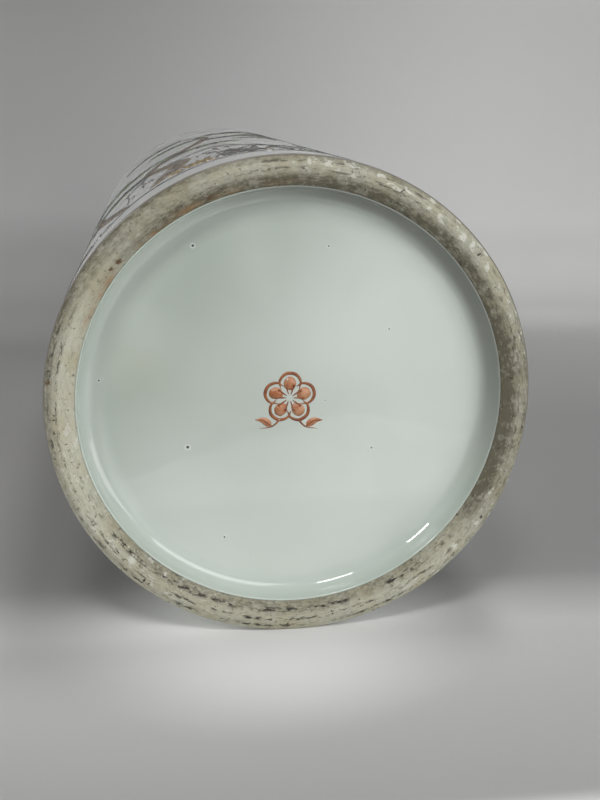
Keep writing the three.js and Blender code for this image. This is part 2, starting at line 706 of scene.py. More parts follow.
class BiscuitFinish(Finish):
    """Unglazed foot: sandy body, turning lines, worked-in dirt with painted shade, chalky scale and iron
    stains.
    """

    name = "biscuit"
    body: Color = (0.47, 0.465, 0.375)
    warm: Color = (0.43, 0.405, 0.29)
    chalk: Color = (0.57, 0.57, 0.50)
    dirt_and_shade: Color = (0.088, 0.079, 0.050)
    soot: Color = (0.03, 0.026, 0.02)
    iron: Color = (0.29, 0.17, 0.075)
    rust: Color = (0.10, 0.055, 0.022)
    dirt_everywhere = 0.28
    chalk_everywhere = 0.16
    dashes_everywhere = 0.20
    between_rows = 0.12
    # Dirt and painted shade: darkest on the inner slope at turns 52 and -6, which faces away from the key
    # lamp, and lighter where the foot faces the lamps.
    dirt_and_shade_zones = (
        CoverZone(52, (-0.08, 0.34), (57.2, 54.0), 0.70), CoverZone(262, (0.35, 0.85), (56.4, 54.0), 0.36),
        CoverZone(-6, (0.80, 0.97), (52.0, 53.0), 0.34), CoverZone(317, (0.75, 0.95), (53.0, 54.0), -0.10),
        CoverZone(203, (0.50, 0.90), (53.0, 54.0), -0.09),
        CoverZone(155, (0.60, 0.95), (55.6, 57.2), 0.32), CoverZone(186, (0.72, 0.95), (58.6, 57.2), -0.24),
        CoverZone(140, (-0.10, 0.40), (58.1, 59.4), 0.32), CoverZone(344, (0.60, 0.95), (58.1, 59.4), 0.16),
    )
    chalk_zones = (
        CoverZone(52, (0.55, 0.95), (55.8, 57.0), 0.75), CoverZone(212, (0.6, 0.95), (58.6, 57.6), 0.5),
        CoverZone(322, (0.9, 0.98), (55.0, 56.4), 0.6),
    )
    dash_zones = (
        CoverZone(262, (0.30, 0.80), (50.0, 51.0), 0.9), CoverZone(8, (0.80, 0.95), (56.0, 57.0), 0.6),
        CoverZone(78, (0.85, 0.97), (54.0, 56.0), 0.6), CoverZone(178, (0.9, 0.98), (56.0, 57.0), 0.7),
    )
    dash_rows = ((58.6, 0.75), (56.8, 0.85), (54.4, 1.1))
    marks = (
        Spot(-58.2, -8.2, 0.5), Spot(-57.2, 2.4, 0.5), Spot(-57.3, 3.6, 0.45), Spot(-57.2, 6.7, 0.55),
        Spot(43.8, -37.7, 0.5), Spot(58.3, 6.0, 0.55), Spot(49.5, 29.7, 0.45), Spot(24.0, -52.0, 0.4),
        Spot(-1.4, 58.2, 0.35), Spot(0.3, 58.2, 0.4), Spot(-36.4, 45.5, 0.5), Spot(-35.3, 46.3, 0.4),
        Spot(22.8, 55.4, 0.4), Spot(24.1, 54.9, 0.45), Spot(-48.0, 30.2, 0.4), Spot(12.0, 55.6, 0.35),
    )
    chalk_spots = (
        Spot(-39.0, 39.7, 1.6), Spot(39.4, -41.6, 1.3), Spot(33.5, -46.5, 1.0), Spot(42.0, -39.8, 0.9),
        Spot(43.0, 37.4, 1.2),
    )
    rust_spots = (
        Spot(-41.9, -34.2, 1.0), Spot(-43.4, -32.6, 0.6), Spot(-20.8, -49.4, 0.7), Spot(-58.6, -5.4, 0.8),
    )
    iron_way: Point = (-0.62, -0.78)
    iron_band = (54.8, 53.0)

    def lay_out(self, graph: Graph, shader: bpy.types.Node) -> None:
        """Adds body colour, dirt with painted shade, scale, soot, iron stains and grain.

        Args:
            graph: the material's nodes.
            shader: its Principled BSDF.
        """
        place = graph.place()
        at = graph.use(self.groups.round_place, Place=place)
        ring = RingPlace(place, self.shaken(graph, place), at.outputs["Radius"], at.outputs["Around"])
        lines = graph.noise(self.turning(graph, ring, 9.0), 3.2, 3.0, 0.6)
        patches = graph.noise(place, 110.0, 4.0)
        color = graph.mix(graph.fade(patches, 0.35, 0.7), self.body, self.warm)
        # Dirt and painted shade over the foot.
        color = graph.mix(self.dirt_and_shade_share(graph, ring), color, self.dirt_and_shade)
        color = graph.mix(graph.times(graph.fade(lines, 0.54, 0.74), 0.45), color, self.dirt_and_shade)
        color = graph.mix(self.scale(graph, ring), color, self.chalk)
        color = graph.mix(self.black(graph, ring), color, self.soot)
        color = graph.mix(self.stained(graph, ring), color, self.iron)
        color = graph.mix(self.dots(graph, ring, self.rust_spots), color, self.rust)
        graph.feed(shader.inputs["Base Color"], color)
        graph.feed(shader.inputs["Roughness"], graph.plus(0.72, graph.times(patches, 0.3)))
        sand = graph.bump(graph.noise(place, 1600.0, 5.0, 0.65), 0.00018)
        graph.feed(shader.inputs["Normal"], graph.bump(lines, 0.00014, normal=sand))

    def dirt_and_shade_share(self, graph: Graph, ring: RingPlace) -> Socket:
        """Share of worked-in dirt and painted shade, in patches and streaks; the shade lies on the inner
        slope turned away from the key lamp.

        Args:
            graph: the material's nodes.
            ring: where the point is.

        Returns:
            The share, 0 to 1.
        """
        worked = graph.noise(ring.place, 520.0, 7.0, 0.74)
        streaked = graph.noise(self.turning(graph, ring, 14.0), 2.0, 5.0, 0.66)
        both = graph.plus(graph.times(worked, 0.55), graph.times(streaked, 0.45))
        pattern = graph.plus(0.52, graph.times(graph.fade(both, 0.35, 0.65), 0.76))
        depth = self.zones(graph, ring, self.dirt_and_shade_zones, self.dirt_everywhere)
        return graph.math("MINIMUM", graph.times(depth, pattern), 0.94)

    def scale(self, graph: Graph, ring: RingPlace) -> Socket:
        """Share of chalky scale, in flakes and single crusts.

        Args:
            graph: the material's nodes.
            ring: where the point is.

        Returns:
            The share, 0 to 1.
        """
        flakes = graph.use(self.groups.specks, Place=self.turning(graph, ring, 30.0),
                           Scale=0.72, Amount=0.52, Softness=0.06)
        depth = self.zones(graph, ring, self.chalk_zones, self.chalk_everywhere)
        crust = graph.times(self.dots(graph, ring, self.chalk_spots), 0.85)
        return graph.math("MAXIMUM", graph.times(flakes.outputs["Mask"], depth), crust)

    def black(self, graph: Graph, ring: RingPlace) -> Socket:
        """Share of black grime: dashes along the turning lines, grit and single marks.

        Args:
            graph: the material's nodes.
            ring: where the point is.

        Returns:
            The share, 0 to 1.
        """
        dashes = graph.use(self.groups.specks, Place=self.turning(graph, ring, 15.0),
                           Scale=1.7, Amount=0.74, Softness=0.09)
        clustered = graph.fade(graph.noise(ring.place, 170.0, 3.0), 0.34, 0.54)
        rows = self.between_rows
        for middle, width in self.dash_rows:
            off = graph.math("ABSOLUTE", graph.minus(ring.radius, middle))
            rows = graph.math("MAXIMUM", rows, graph.fade(off, width, 0.0))
        depth = self.zones(graph, ring, self.dash_zones, self.dashes_everywhere)
        dashed = graph.times(dashes.outputs["Mask"], graph.times(rows, clustered), depth)
        grit = graph.use(self.groups.specks, Place=ring.place, Scale=900.0, Amount=0.42, Softness=0.06)
        loose = graph.math("MAXIMUM", dashed, graph.times(grit.outputs["Mask"], 0.7))
        return graph.math("MAXIMUM", loose, self.dots(graph, ring, self.marks))

    def stained(self, graph: Graph, ring: RingPlace) -> Socket:
        """Share of iron stain along the inner edge, on one side.

        Args:
            graph: the material's nodes.
            ring: where the point is.

        Returns:
            The share, 0 to 1.
        """
        x, y, _ = graph.parts(ring.around)
        side = graph.fade(graph.toward(x, y, self.iron_way), 0.6, 0.95)
        patchy = graph.fade(graph.noise(ring.place, 120.0, 4.0), 0.42, 0.68)
        return graph.times(side, graph.fade(ring.radius, *self.iron_band), patchy, 0.75)

    def dots(self, graph: Graph, ring: RingPlace, spots: Sequence[Spot]) -> Socket:
        """Single marks with ragged edges.

        Args:
            graph: the material's nodes.
            ring: where the point is.
            spots: where the marks are.

        Returns:
            The mask.
        """
        mask = 0.0
        for spot in spots:
            centre = (spot.x * MM, spot.y * MM, 0.0)
            mark = graph.use(self.groups.pinhole, Place=ring.shaken, Size=spot.size, Centre=centre)
            mask = graph.math("MAXIMUM", mask, mark.outputs["Dark"])
        return mask

    @staticmethod
    def zones(graph: Graph, ring: RingPlace, zones: Sequence[CoverZone], rest: float) -> Socket:
        """Depth of a cover that differs from side to side.

        Args:
            graph: the material's nodes.
            ring: where the point is.
            zones: the sides and bands, with their depths.
            rest: depth everywhere else.

        Returns:
            The depth.
        """
        total = rest
        x, y, _ = graph.parts(ring.around)
        for zone in zones:
            turn = math.radians(zone.turn)
            facing = graph.toward(x, y, (math.cos(turn), -math.sin(turn)))
            share = graph.times(graph.fade(facing, *zone.reach), graph.fade(ring.radius, *zone.band))
            total = graph.math("MULTIPLY_ADD", share, zone.depth, total)
        return total

    @staticmethod
    def shaken(graph: Graph, place: Socket) -> Socket:
        """Flat coordinates with a fine wobble, so that marks have ragged edges.

        Args:
            graph: the material's nodes.
            place: Object coordinates.

        Returns:
            The coordinates, in metres, with no height.
        """
        x, y, _ = graph.parts(place)
        wobble = graph.times(graph.minus(graph.noise(place, 1100.0, 2.0), 0.5), 0.0024)
        return graph.vector(graph.plus(x, wobble), graph.minus(y, wobble), 0.0)

    @staticmethod
    def turning(graph: Graph, ring: RingPlace, reach: float) -> Socket:
        """Coordinates that change by 1 a millimetre across the ring and by reach a radian along it."""
        x, y, _ = graph.parts(ring.around)
        return graph.vector(graph.times(x, reach), graph.times(y, reach), ring.radius)


class WallGlazeFinish(Finish):
    """Glossy white glaze of the wall, with a brown line where it ends above the foot."""

    name = "wall_glaze"
    white: Color = (0.70, 0.715, 0.69)
    cool: Color = (0.655, 0.68, 0.665)
    scorch: Color = (0.10, 0.08, 0.055)

    def lay_out(self, graph: Graph, shader: bpy.types.Node) -> None:
        """Adds the tones, the scorched edge, specks and ripples.

        Args:
            graph: the material's nodes.
            shader: its Principled BSDF.
        """
        place = graph.place()
        at = graph.use(self.groups.round_place, Place=place)
        color = graph.mix(graph.fade(graph.noise(place, 30.0, 3.0), 0.3, 0.7), self.white, self.cool)
        flecks = graph.use(self.groups.specks, Place=place, Scale=380.0, Amount=0.14, Softness=0.04)
        color = graph.mix(graph.times(flecks.outputs["Mask"], 0.4), color, self.scorch)
        color = self.tint(graph, color)
        uneven = graph.times(graph.noise(place, 160.0, 3.0), 1.2)
        edge = graph.fade(graph.minus(at.outputs["Height"], uneven), 2.5, 1.9)
        color = graph.mix(graph.times(edge, 0.85), color, self.scorch)
        graph.feed(shader.inputs["Base Color"], color)
        wear = graph.noise(place, 45.0, 4.0)
        graph.feed(shader.inputs["Roughness"], graph.plus(0.06, graph.times(wear, 0.1)))
        ripples = graph.bump(graph.noise(place, 90.0, 2.0), 0.00006)
        graph.feed(shader.inputs["Normal"], ripples)

    def tint(self, graph: Graph, color: Socket) -> Socket:
        """The glaze's colour with nothing painted in it."""
        return color


@dataclass(frozen=True)
class ClaySurface:
    """Colours of a matt clay surface and how coarse its grain is."""

    name: str
    light: Color
    dark: Color
    grain: float


class ClayFinish(Finish):
    """Matt fired clay under the glaze, with throwing lines and grain."""

    def __init__(self, groups: SharedGroups, surface: ClaySurface) -> None:
        """Keeps the shared groups and the colours."""
        super().__init__(groups)
        self.surface = surface
        self.name = surface.name

    def lay_out(self, graph: Graph, shader: bpy.types.Node) -> None:
        """Adds tone, specks and throwing lines.

        Args:
            graph: the material's nodes.
            shader: its Principled BSDF.
        """
        place = graph.place()
        at = graph.use(self.groups.round_place, Place=place)
        tone = graph.fade(graph.noise(place, 70.0, 4.0), 0.3, 0.7)
        color = graph.mix(tone, self.surface.light, self.surface.dark)
        flecks = graph.use(self.groups.specks, Place=place, Scale=self.surface.grain, Amount=0.25,
                           Softness=0.06)
        color = graph.mix(graph.times(flecks.outputs["Mask"], 0.5), color, self.surface.dark)
        graph.feed(shader.inputs["Base Color"], color)
        graph.feed(shader.inputs["Roughness"], graph.plus(0.7, graph.times(tone, 0.2)))
        rings = graph.math("SINE", graph.times(at.outputs["Height"], 1.7))
        grain = graph.bump(graph.noise(place, self.surface.grain * 2, 4.0), 0.0001)
        graph.feed(shader.inputs["Normal"], graph.bump(rings, 0.00008, normal=grain))


# The stand's visible pieces

def ripple(x: float, y: float, z: float, wavelength: float) -> float:
    """Smooth noise from about -1 to 1 at a place in millimetres, changing over the wavelength."""
    return noise.noise(Vector((x, y, z)) / wavelength)


def lobe(x: float, y: float, degrees: float) -> float:
    """One side of the stand: 1 in that direction, falling to 0 a quarter turn away."""
    return max(0.0, math.cos(math.atan2(y, x) - math.radians(degrees)))


ROUND_SHIFT = 0.22
SIDE_SHIFT = 0.28
SHIFTED_SIDE = -58.0


def inside_shift(x: float, y: float) -> float:
    """How far the inside of the foot lies outside its true circle, in millimetres."""
    return ROUND_SHIFT + SIDE_SHIFT * lobe(x, y, SHIFTED_SIDE)


@dataclass
class FootRing:
    """The unglazed foot, with soft worn edges and a few nicks."""

    sizes: StandSizes
    land_outer: float = 57.5
    land_inner: float = 56.9
    inner_rise: float = 2.0
    outer_rise: float = 1.7
    roundness: float = 1.85
    fuller_side: float = 85.0
    fuller_width: float = 0.25
    fuller_drop: float = 0.6
    steps: int = 540
    grain: float = 0.035
    nick: float = 0.55

    def edge(self, start: float, end: float, rise: float, count: int = 12) -> list[Point]:
        """Points of a worn edge that curves up from the land at start to the side at end."""
        shares = [i / count for i in range(1, count + 1)]
        return [(start + (end - start) * t, rise * t ** self.roundness) for t in shares]

    def profile(self) -> list[Point]:
        """Outline of the foot, anticlockwise from the inner side.

        Returns:
            The points as radius and height.
        """
        inner = self.edge(self.land_inner, self.sizes.foot_inner_radius, self.inner_rise)
        outer = self.edge(self.land_outer, self.sizes.clay_radius, self.outer_rise)
        points = list(reversed(inner))
        points.append((self.land_inner, 0.0))
        points += straight((self.land_inner, 0.0), (self.land_outer, 0.0), 8)
        points += outer
        points += straight(outer[-1], (self.sizes.clay_radius, self.sizes.ledge_height), 4)
        points.append((self.sizes.foot_inner_radius, self.sizes.ledge_height))
        points += straight(points[-1], inner[-1], 4)[:-1]
        return points

    def wear(self, mesh: bmesh.types.BMesh) -> None:
        """Roughens the bare surface and chips its edges.

        Args:
            mesh: the turned foot.
        """
        for vert in mesh.verts:
            x, y, z = vert.co / MM
            radius = math.hypot(x, y)
            if radius < self.land_inner:
                share = (self.land_inner - radius) / (self.land_inner - self.sizes.foot_inner_radius)
                vert.co.xy *= 1 + share * inside_shift(x, y) / radius
            if z > self.inner_rise + 0.2:
                continue
            if radius > self.land_outer and z <= self.outer_rise + 0.01:
                fuller = lobe(x, y, self.fuller_side)
                share = (radius - self.land_outer) / (self.sizes.clay_radius - self.land_outer)
                vert.co.xy *= 1 + self.fuller_width * fuller * share / radius
                vert.co.z *= 1 - self.fuller_drop * fuller
            lift = self.grain * (1 + ripple(x, y, z, 0.9)) + 0.04 * (1 + ripple(x, y, z, 6.0))
            chip = max(0.0, ripple(x, y, 40.0, 3.2) - 0.42) * self.nick
            near_edge = min(1.0, abs(radius - (self.land_inner + self.land_outer) / 2) / 1.6)
            vert.co.z += (lift + chip * near_edge) * MM

    def build(self, material: bpy.types.Material) -> bpy.types.Object:
        """Makes the foot.

        Args:
            material: its finish.

        Returns:
            The piece.
        """
        mesh = turned(self.profile(), self.steps)
        self.wear(mesh)
        return finish_piece("foot_biscuit", mesh, material, "foot_ring")


@dataclass
class BaseGlaze:
    """The glaze under the base, with its cove and the rounded edge where it stops on the foot."""

    sizes: StandSizes
    fillet: float = 4.0
    edge_height: float = 1.9
    steps: int = 300
    wave: float = 0.07
    still_radius: float = 12.0
    calm_radius: float = 50.0
    calm_width: float = 8.0
    shift_depth: float = 3.0
    shift_fade: float = 2.0

    def lift(self, x: float, y: float) -> float:
        """Height of the glaze's waves over the flat base.

        Args:
            x: place in millimetres.
            y: place in millimetres.

        Returns:
            Millimetres upwards, which is away from the viewer below.
        """
        radius = math.hypot(x, y)
        calm = max(0.0, min(1.0, (self.calm_radius - radius) / self.calm_width))
        share = min(1.0, radius / self.still_radius) * calm
        return share * self.wave * (ripple(x, y, 5.0, 26.0) + 0.3 * ripple(x, y, 9.0, 10.0))

    def profile(self) -> list[Point]:
        """Outline of the coat, from the axis along the underside and back on top.

        Returns:
            The points as radius and height.
        """
        side, coat = self.sizes.foot_inner_radius, self.sizes.coat
        surface = self.fillet_points(self.fillet - coat)
        points = [(0.0, self.sizes.underside)]
        points += straight(points[0], surface[0], 40)
        points += surface[1:]
        points += straight(surface[-1], (side - coat, self.edge_height + coat), 4)
        points += arc((side, self.edge_height + coat), coat, 180, 270, 6)[1:]
        points += list(reversed(self.fillet_points(self.fillet)))
        points.append((0.0, self.sizes.ledge_height))
        return points

    def fillet_points(self, radius: float) -> list[Point]:
        """Quarter circle of the cove with this radius, from the base to the side."""
        centre = (self.sizes.foot_inner_radius - self.fillet, self.sizes.ledge_height - self.fillet)
        return arc(centre, radius, 90, 0, 14)

    def build(self, material: bpy.types.Material) -> bpy.types.Object:
        """Makes the coat.

        Args:
            material: its finish.

        Returns:
            The piece.
        """
        mesh = turned(self.profile(), self.steps)
        middle = self.sizes.ledge_height - self.sizes.coat / 2
        for vert in mesh.verts:
            x, y, z = vert.co / MM
            if z < middle:
                vert.co.z += self.lift(x, y) * MM
            radius = math.hypot(x, y)
            if radius > self.sizes.foot_inner_radius - self.fillet:
                above_edge = self.sizes.underside - self.shift_depth - z
                share = max(0.0, min(1.0, above_edge / self.shift_fade))
                vert.co.xy *= 1 + share * inside_shift(x, y) / radius
        return finish_piece("base_glaze_coat", mesh, material, "base_glaze")


@dataclass
class OuterGlaze:
    """The glaze coat outside, fine enough to carry the painted washes."""

    sizes: StandSizes
    steps: int = 360
    rows: int = 245
    wobble: float = 0.1

    def build(self, material: bpy.types.Material) -> bpy.types.Object:
        """Makes the coat.

        Args:
            material: its finish.

        Returns:
            The piece.
        """
        coat, bottom, top = self.sizes.coat, self.sizes.outer_glaze_bottom, self.sizes.lip_height
        points = arc((self.sizes.clay_radius, bottom + coat), coat, -90, 0, 5)
        points += straight(points[-1], (self.sizes.glaze_radius, top), self.rows)
        points.append((self.sizes.clay_radius, top))
        mesh = turned(points, self.steps)
        for vert in mesh.verts:
            x, y, z = vert.co / MM
            if math.hypot(x, y) > self.sizes.clay_radius + coat / 2 and z < top - 0.5:
                fade_out = min(1.0, (top - z) / 12.0)
                waves = 1 + 0.5 * ripple(x, y, z, 30.0) + 0.5 * ripple(0, 0, z, 7.0)
                inward = self.wobble * fade_out * waves / 2
                vert.co.xy *= 1 - inward / math.hypot(x, y)
        return finish_piece("outer_glaze_coat", mesh, material, "outer_glaze")


@dataclass
class MouthRim:
    """The rounded lip."""

    sizes: StandSizes
    swell: float = 0.6
    rounding: float = 1.7
    steps: int = 300

    def build(self, material: bpy.types.Material) -> bpy.types.Object:
        """Makes the lip.

        Args:
            material: its finish.

        Returns:
            The piece.
        """
        outer = self.sizes.glaze_radius
        inner = self.sizes.bore_radius - self.sizes.coat - self.swell
        shoulder = self.sizes.height - self.rounding
        bottom = self.sizes.lip_height
        points = [(self.sizes.bore_radius - self.sizes.coat, bottom), (outer, bottom)]
        points += straight(points[-1], (outer, shoulder), 4)
        points += arc((outer - self.rounding, shoulder), self.rounding, 0, 90, 10)[1:]
        points += arc((inner + self.rounding, shoulder), self.rounding, 90, 180, 10)
        points += straight(points[-1], (inner, self.sizes.lip_height + 2.5), 3)
        mesh = turned(points, self.steps)
        for vert in mesh.verts:
            x, y, z = vert.co / MM
            if z > self.sizes.lip_height + 1:
                vert.co.z -= 0.12 * (1 + ripple(x, y, 0, 25.0)) * MM * (z - self.sizes.lip_height) / 6
        return finish_piece("mouth_lip", mesh, material, "mouth_rim")


@dataclass
class InnerGlaze:
    """The glaze coat inside, with throwing rings and the band over the seam."""

    sizes: StandSizes
    fillet: float = 4.0
    ridge_height: float = 6.0
    ridge_rise: float = 0.8
    ring_depth: float = 0.12
    steps: int = 220

    def build(self, material: bpy.types.Material) -> bpy.types.Object:
        """Makes the coat.

        Args:
            material: its finish.

        Returns:
            The piece.
        """
        bore, coat, floor = self.sizes.bore_radius, self.sizes.coat, self.sizes.base_top
        centre = (bore - self.fillet, floor + self.fillet)
        points = [(0.0, floor)]
        points += straight(points[0], (centre[0], floor), 4)
        points += arc(centre, self.fillet, -90, 0, 8)[1:]
        points += [(bore, self.sizes.lip_height), (bore - coat, self.sizes.lip_height)]
        points += straight(points[-1], (bore - coat, centre[1]), 130)
        points += arc(centre, self.fillet - coat, 0, -90, 10)[1:]
        points += straight(points[-1], (0.0, floor + coat), 24)
        mesh = turned(points, self.steps)
        for vert in mesh.verts:
            x, y, z = vert.co / MM
            radius = math.hypot(x, y)
            on_wall = bore - coat - 0.1 < radius < bore - coat / 2
            if on_wall and centre[1] < z < self.sizes.lip_height:
                off = abs(z - self.sizes.seam_height) / (self.ridge_height / 2)
                ridge = self.ridge_rise * math.cos(math.pi / 2 * min(1.0, off)) ** 2
                ease = min(1.0, (self.sizes.lip_height - z) / 10, (z - centre[1]) / 10)
                ring = self.ring_depth * ease * (1 + ripple(0, 0, z, 4.5) + 0.3 * ripple(x, y, z, 20.0))
                vert.co.xy *= 1 - (ridge + ring) / radius
        return finish_piece("inner_glaze_coat", mesh, material, "inner_glaze")


# Painting in enamels

def along(points: Sequence[Point], share: float) -> tuple[Vector, Vector]:
    """Place and direction on a smooth line through points.

    Args:
        points: the points, at least two.
        share: how far along the line, from 0 to 1.

    Returns:
        The place and the unit direction there.
    """
    count = len(points) - 1
    step = min(int(share * count), count - 1)
    t = share * count - step
    p1, p2 = Vector(points[step]), Vector(points[step + 1])
    p0 = Vector(points[step - 1]) if step > 0 else p1 * 2 - p2
    p3 = Vector(points[step + 2]) if step + 2 <= count else p2 * 2 - p1
    bend, curve = p2 - p0, 2 * p0 - 5 * p1 + 4 * p2 - p3
    twist = 3 * p1 - p0 - 3 * p2 + p3
    place = p1 + (bend * t + curve * t * t + twist * t ** 3) / 2
    direction = (bend + curve * 2 * t + twist * 3 * t * t) / 2
    return place, direction.normalized() if direction.length > 1e-9 else (p2 - p1).normalized()


def unit(angle: float) -> Vector:
    """Flat unit vector at an angle in radians."""
    return Vector((math.cos(angle), math.sin(angle)))


def beside(direction: Vector) -> Vector:
    """A flat direction turned left by a quarter turn."""
    return Vector((-direction.y, direction.x))


class StrokeShape(Enum):
    """How a brush stroke's width runs along it."""

    EVEN = "even"
    TAPERED = "tapered"
    NAIL = "nail"
    LEAF = "leaf"

    def width(self, share: float) -> float:
        """Share of the full width, part of the way along.

        Args:
            share: how far along the stroke, from 0 to 1.

        Returns:
            From nearly 0 to 1.
        """
        if self is StrokeShape.EVEN:
            return min(1.0, 0.4 + 9 * share, 0.4 + 9 * (1 - share))
        if self is StrokeShape.TAPERED:
            return 0.08 + 0.92 * math.sin(math.pi * share) ** 0.7
        if self is StrokeShape.NAIL:
            return 0.06 + 0.94 * min(1.0, 0.3 + 7 * share) * (1 - share) ** 0.75
        return 0.05 + 0.95 * math.sin(math.pi * share ** 0.62) ** 1.15


class Pigment(Enum):
    """The enamels, by name."""

    INK = "ink"
    BROWN = "brown"
    RED = "red"
    RED_LINE = "red_line"
    GREEN = "green"
    GILT = "gilt"

    @property
    def proud(self) -> float:
        """How far its strokes stand up, in millimetres, so that layers never share a height."""
        return {Pigment.BROWN: 0.05, Pigment.GREEN: 0.06, Pigment.RED: 0.05, Pigment.INK: 0.08,
                Pigment.RED_LINE: 0.09, Pigment.GILT: 0.12}[self]


@dataclass
class Brushwork:
    """Strokes and dots of enamel on one surface, gathered by pigment.

    The surface is flat while it is painted: millimetres across, millimetres up, and millimetres
    that the enamel stands proud. It is then laid on the stand.
    """

    lay: Callable[[Vector], Vector]
    seed: int
    sunk: float = 0.14
    detail: float = 1.5
    batch: int = 1200
    meshes: dict[Pigment, list[bmesh.types.BMesh]] = field(default_factory=dict)
    hand: random.Random = field(init=False)

    def __post_init__(self) -> None:
        """Seeds the hand's small errors."""
        self.hand = random.Random(self.seed)

    def sheet(self, pigment: Pigment) -> bmesh.types.BMesh:
        """The mesh that gathers a pigment's next strokes, in batches so that each stroke is quick."""
        batches = self.meshes.setdefault(pigment, [])
        if not batches or len(batches[-1].verts) > self.batch:
            batches.append(bmesh.new())
        return batches[-1]

    def stroke(self, pigment: Pigment, path: Sequence[Point], width: float,
               shape: StrokeShape = StrokeShape.TAPERED) -> None:
        """Paints one stroke.

        Args:
            pigment: the enamel.
            path: points that it runs through, in millimetres.
            width: its full width in millimetres.
            shape: how the width runs.
        """
        reach = sum((Vector(b) - Vector(a)).length for a, b in zip(path, path[1:]))
        steps = max(4, min(70, round(reach / self.detail)))
        made = bmesh.ops.create_grid(self.sheet(pigment), x_segments=steps, y_segments=2, size=0.5)
        for vert in made["verts"]:
            share, side = vert.co.x + 0.5, vert.co.y * 2
            place, direction = along(path, share)
            across = beside(direction) * side * width / 2 * shape.width(share)
            crown = pigment.proud * (1 - 0.45 * side * side)
            vert.co = (place.x + across.x, place.y + across.y, crown)

    def dot(self, pigment: Pigment, centre: Point, radius: float, stretch: float = 1.0,
            turn: float = 0.0, sides: int = 14) -> None:
        """Paints a round or oval spot.

        Args:
            pigment: the enamel.
            centre: its middle in millimetres.
            radius: its half width in millimetres.
            stretch: its length over its width.
            turn: angle of its length in radians.
            sides: corners of its outline.
        """
        sheet = self.sheet(pigment)
        made = bmesh.ops.create_circle(sheet, cap_ends=True, segments=sides, radius=radius)
        face = made["verts"][0].link_faces[0]
        centre_vert = bmesh.ops.poke(sheet, faces=[face])["verts"][0]
        for vert in [*made["verts"], centre_vert]:
            x, y = vert.co.x * stretch, vert.co.y
            wobble = 1 + self.hand.uniform(-0.06, 0.06)
            place = Vector((x * math.cos(turn) - y * math.sin(turn), x * math.sin(turn) + y * math.cos(turn)))
            crown = pigment.proud * (1.0 if vert is centre_vert else 0.55)
            vert.co = (centre[0] + place.x * wobble, centre[1] + place.y * wobble, crown)

    def finish(self, name: str, materials: dict[Pigment, bpy.types.Material],
               slot: str) -> list[bpy.types.Object]:
        """Gives the strokes their thickness and lays them on the stand.

        Args:
            name: start of each piece's name.
            materials: finish of each pigment.
            slot: not used.

        Returns:
            One piece for each pigment that was used.
        """
        pieces = []
        for pigment, batches in self.meshes.items():
            whole = bmesh.new()
            for mesh in batches:
                self.thicken(mesh)
                data = bpy.data.meshes.new("batch")
                mesh.to_mesh(data)
                mesh.free()
                whole.from_mesh(data)
                bpy.data.meshes.remove(data)
            pieces.append(finish_piece(f"{name}_{pigment.value}", whole, materials[pigment]))
        return pieces

    def thicken(self, mesh: bmesh.types.BMesh) -> None:
        """Closes flat strokes underneath and lays them on the stand.

        Args:
            mesh: the strokes.
        """
        rim = bmesh.ops.extrude_face_region(mesh, geom=mesh.faces[:], use_keep_orig=True)
        for part in rim["geom"]:
            if isinstance(part, bmesh.types.BMVert):
                part.co.z = -self.sunk
        for vert in mesh.verts:
            vert.co = self.lay(vert.co.copy()) * MM
        bmesh.ops.recalc_face_normals(mesh, faces=mesh.faces)


@dataclass(frozen=True)
class WallSheet:
    """Lays a flat painting round the wall: across is the way round it, up is the height."""

    radius: float

    def __call__(self, flat: Vector) -> Vector:
        """Place on the wall of a flat place, in millimetres."""
        turn, reach = flat.x / self.radius, self.radius + flat.z
        return Vector((reach * math.cos(turn), -reach * math.sin(turn), flat.y))

    def at(self, turn: float, height: float) -> Point:
        """Flat place of a turn in degrees and a height in millimetres."""
        return math.radians(turn) * self.radius, height

    def line(self, *places: Point) -> list[Point]:
        """Flat places of several turns and heights."""
        return [self.at(*place) for place in places]


@dataclass(frozen=True)
class BaseSheet:
    """Lays a flat painting on the underside of the base."""

    height: float

    def __call__(self, flat: Vector) -> Vector:
        """Place on the base of a flat place, in millimetres."""
        return Vector((flat.x, flat.y, self.height - flat.z))


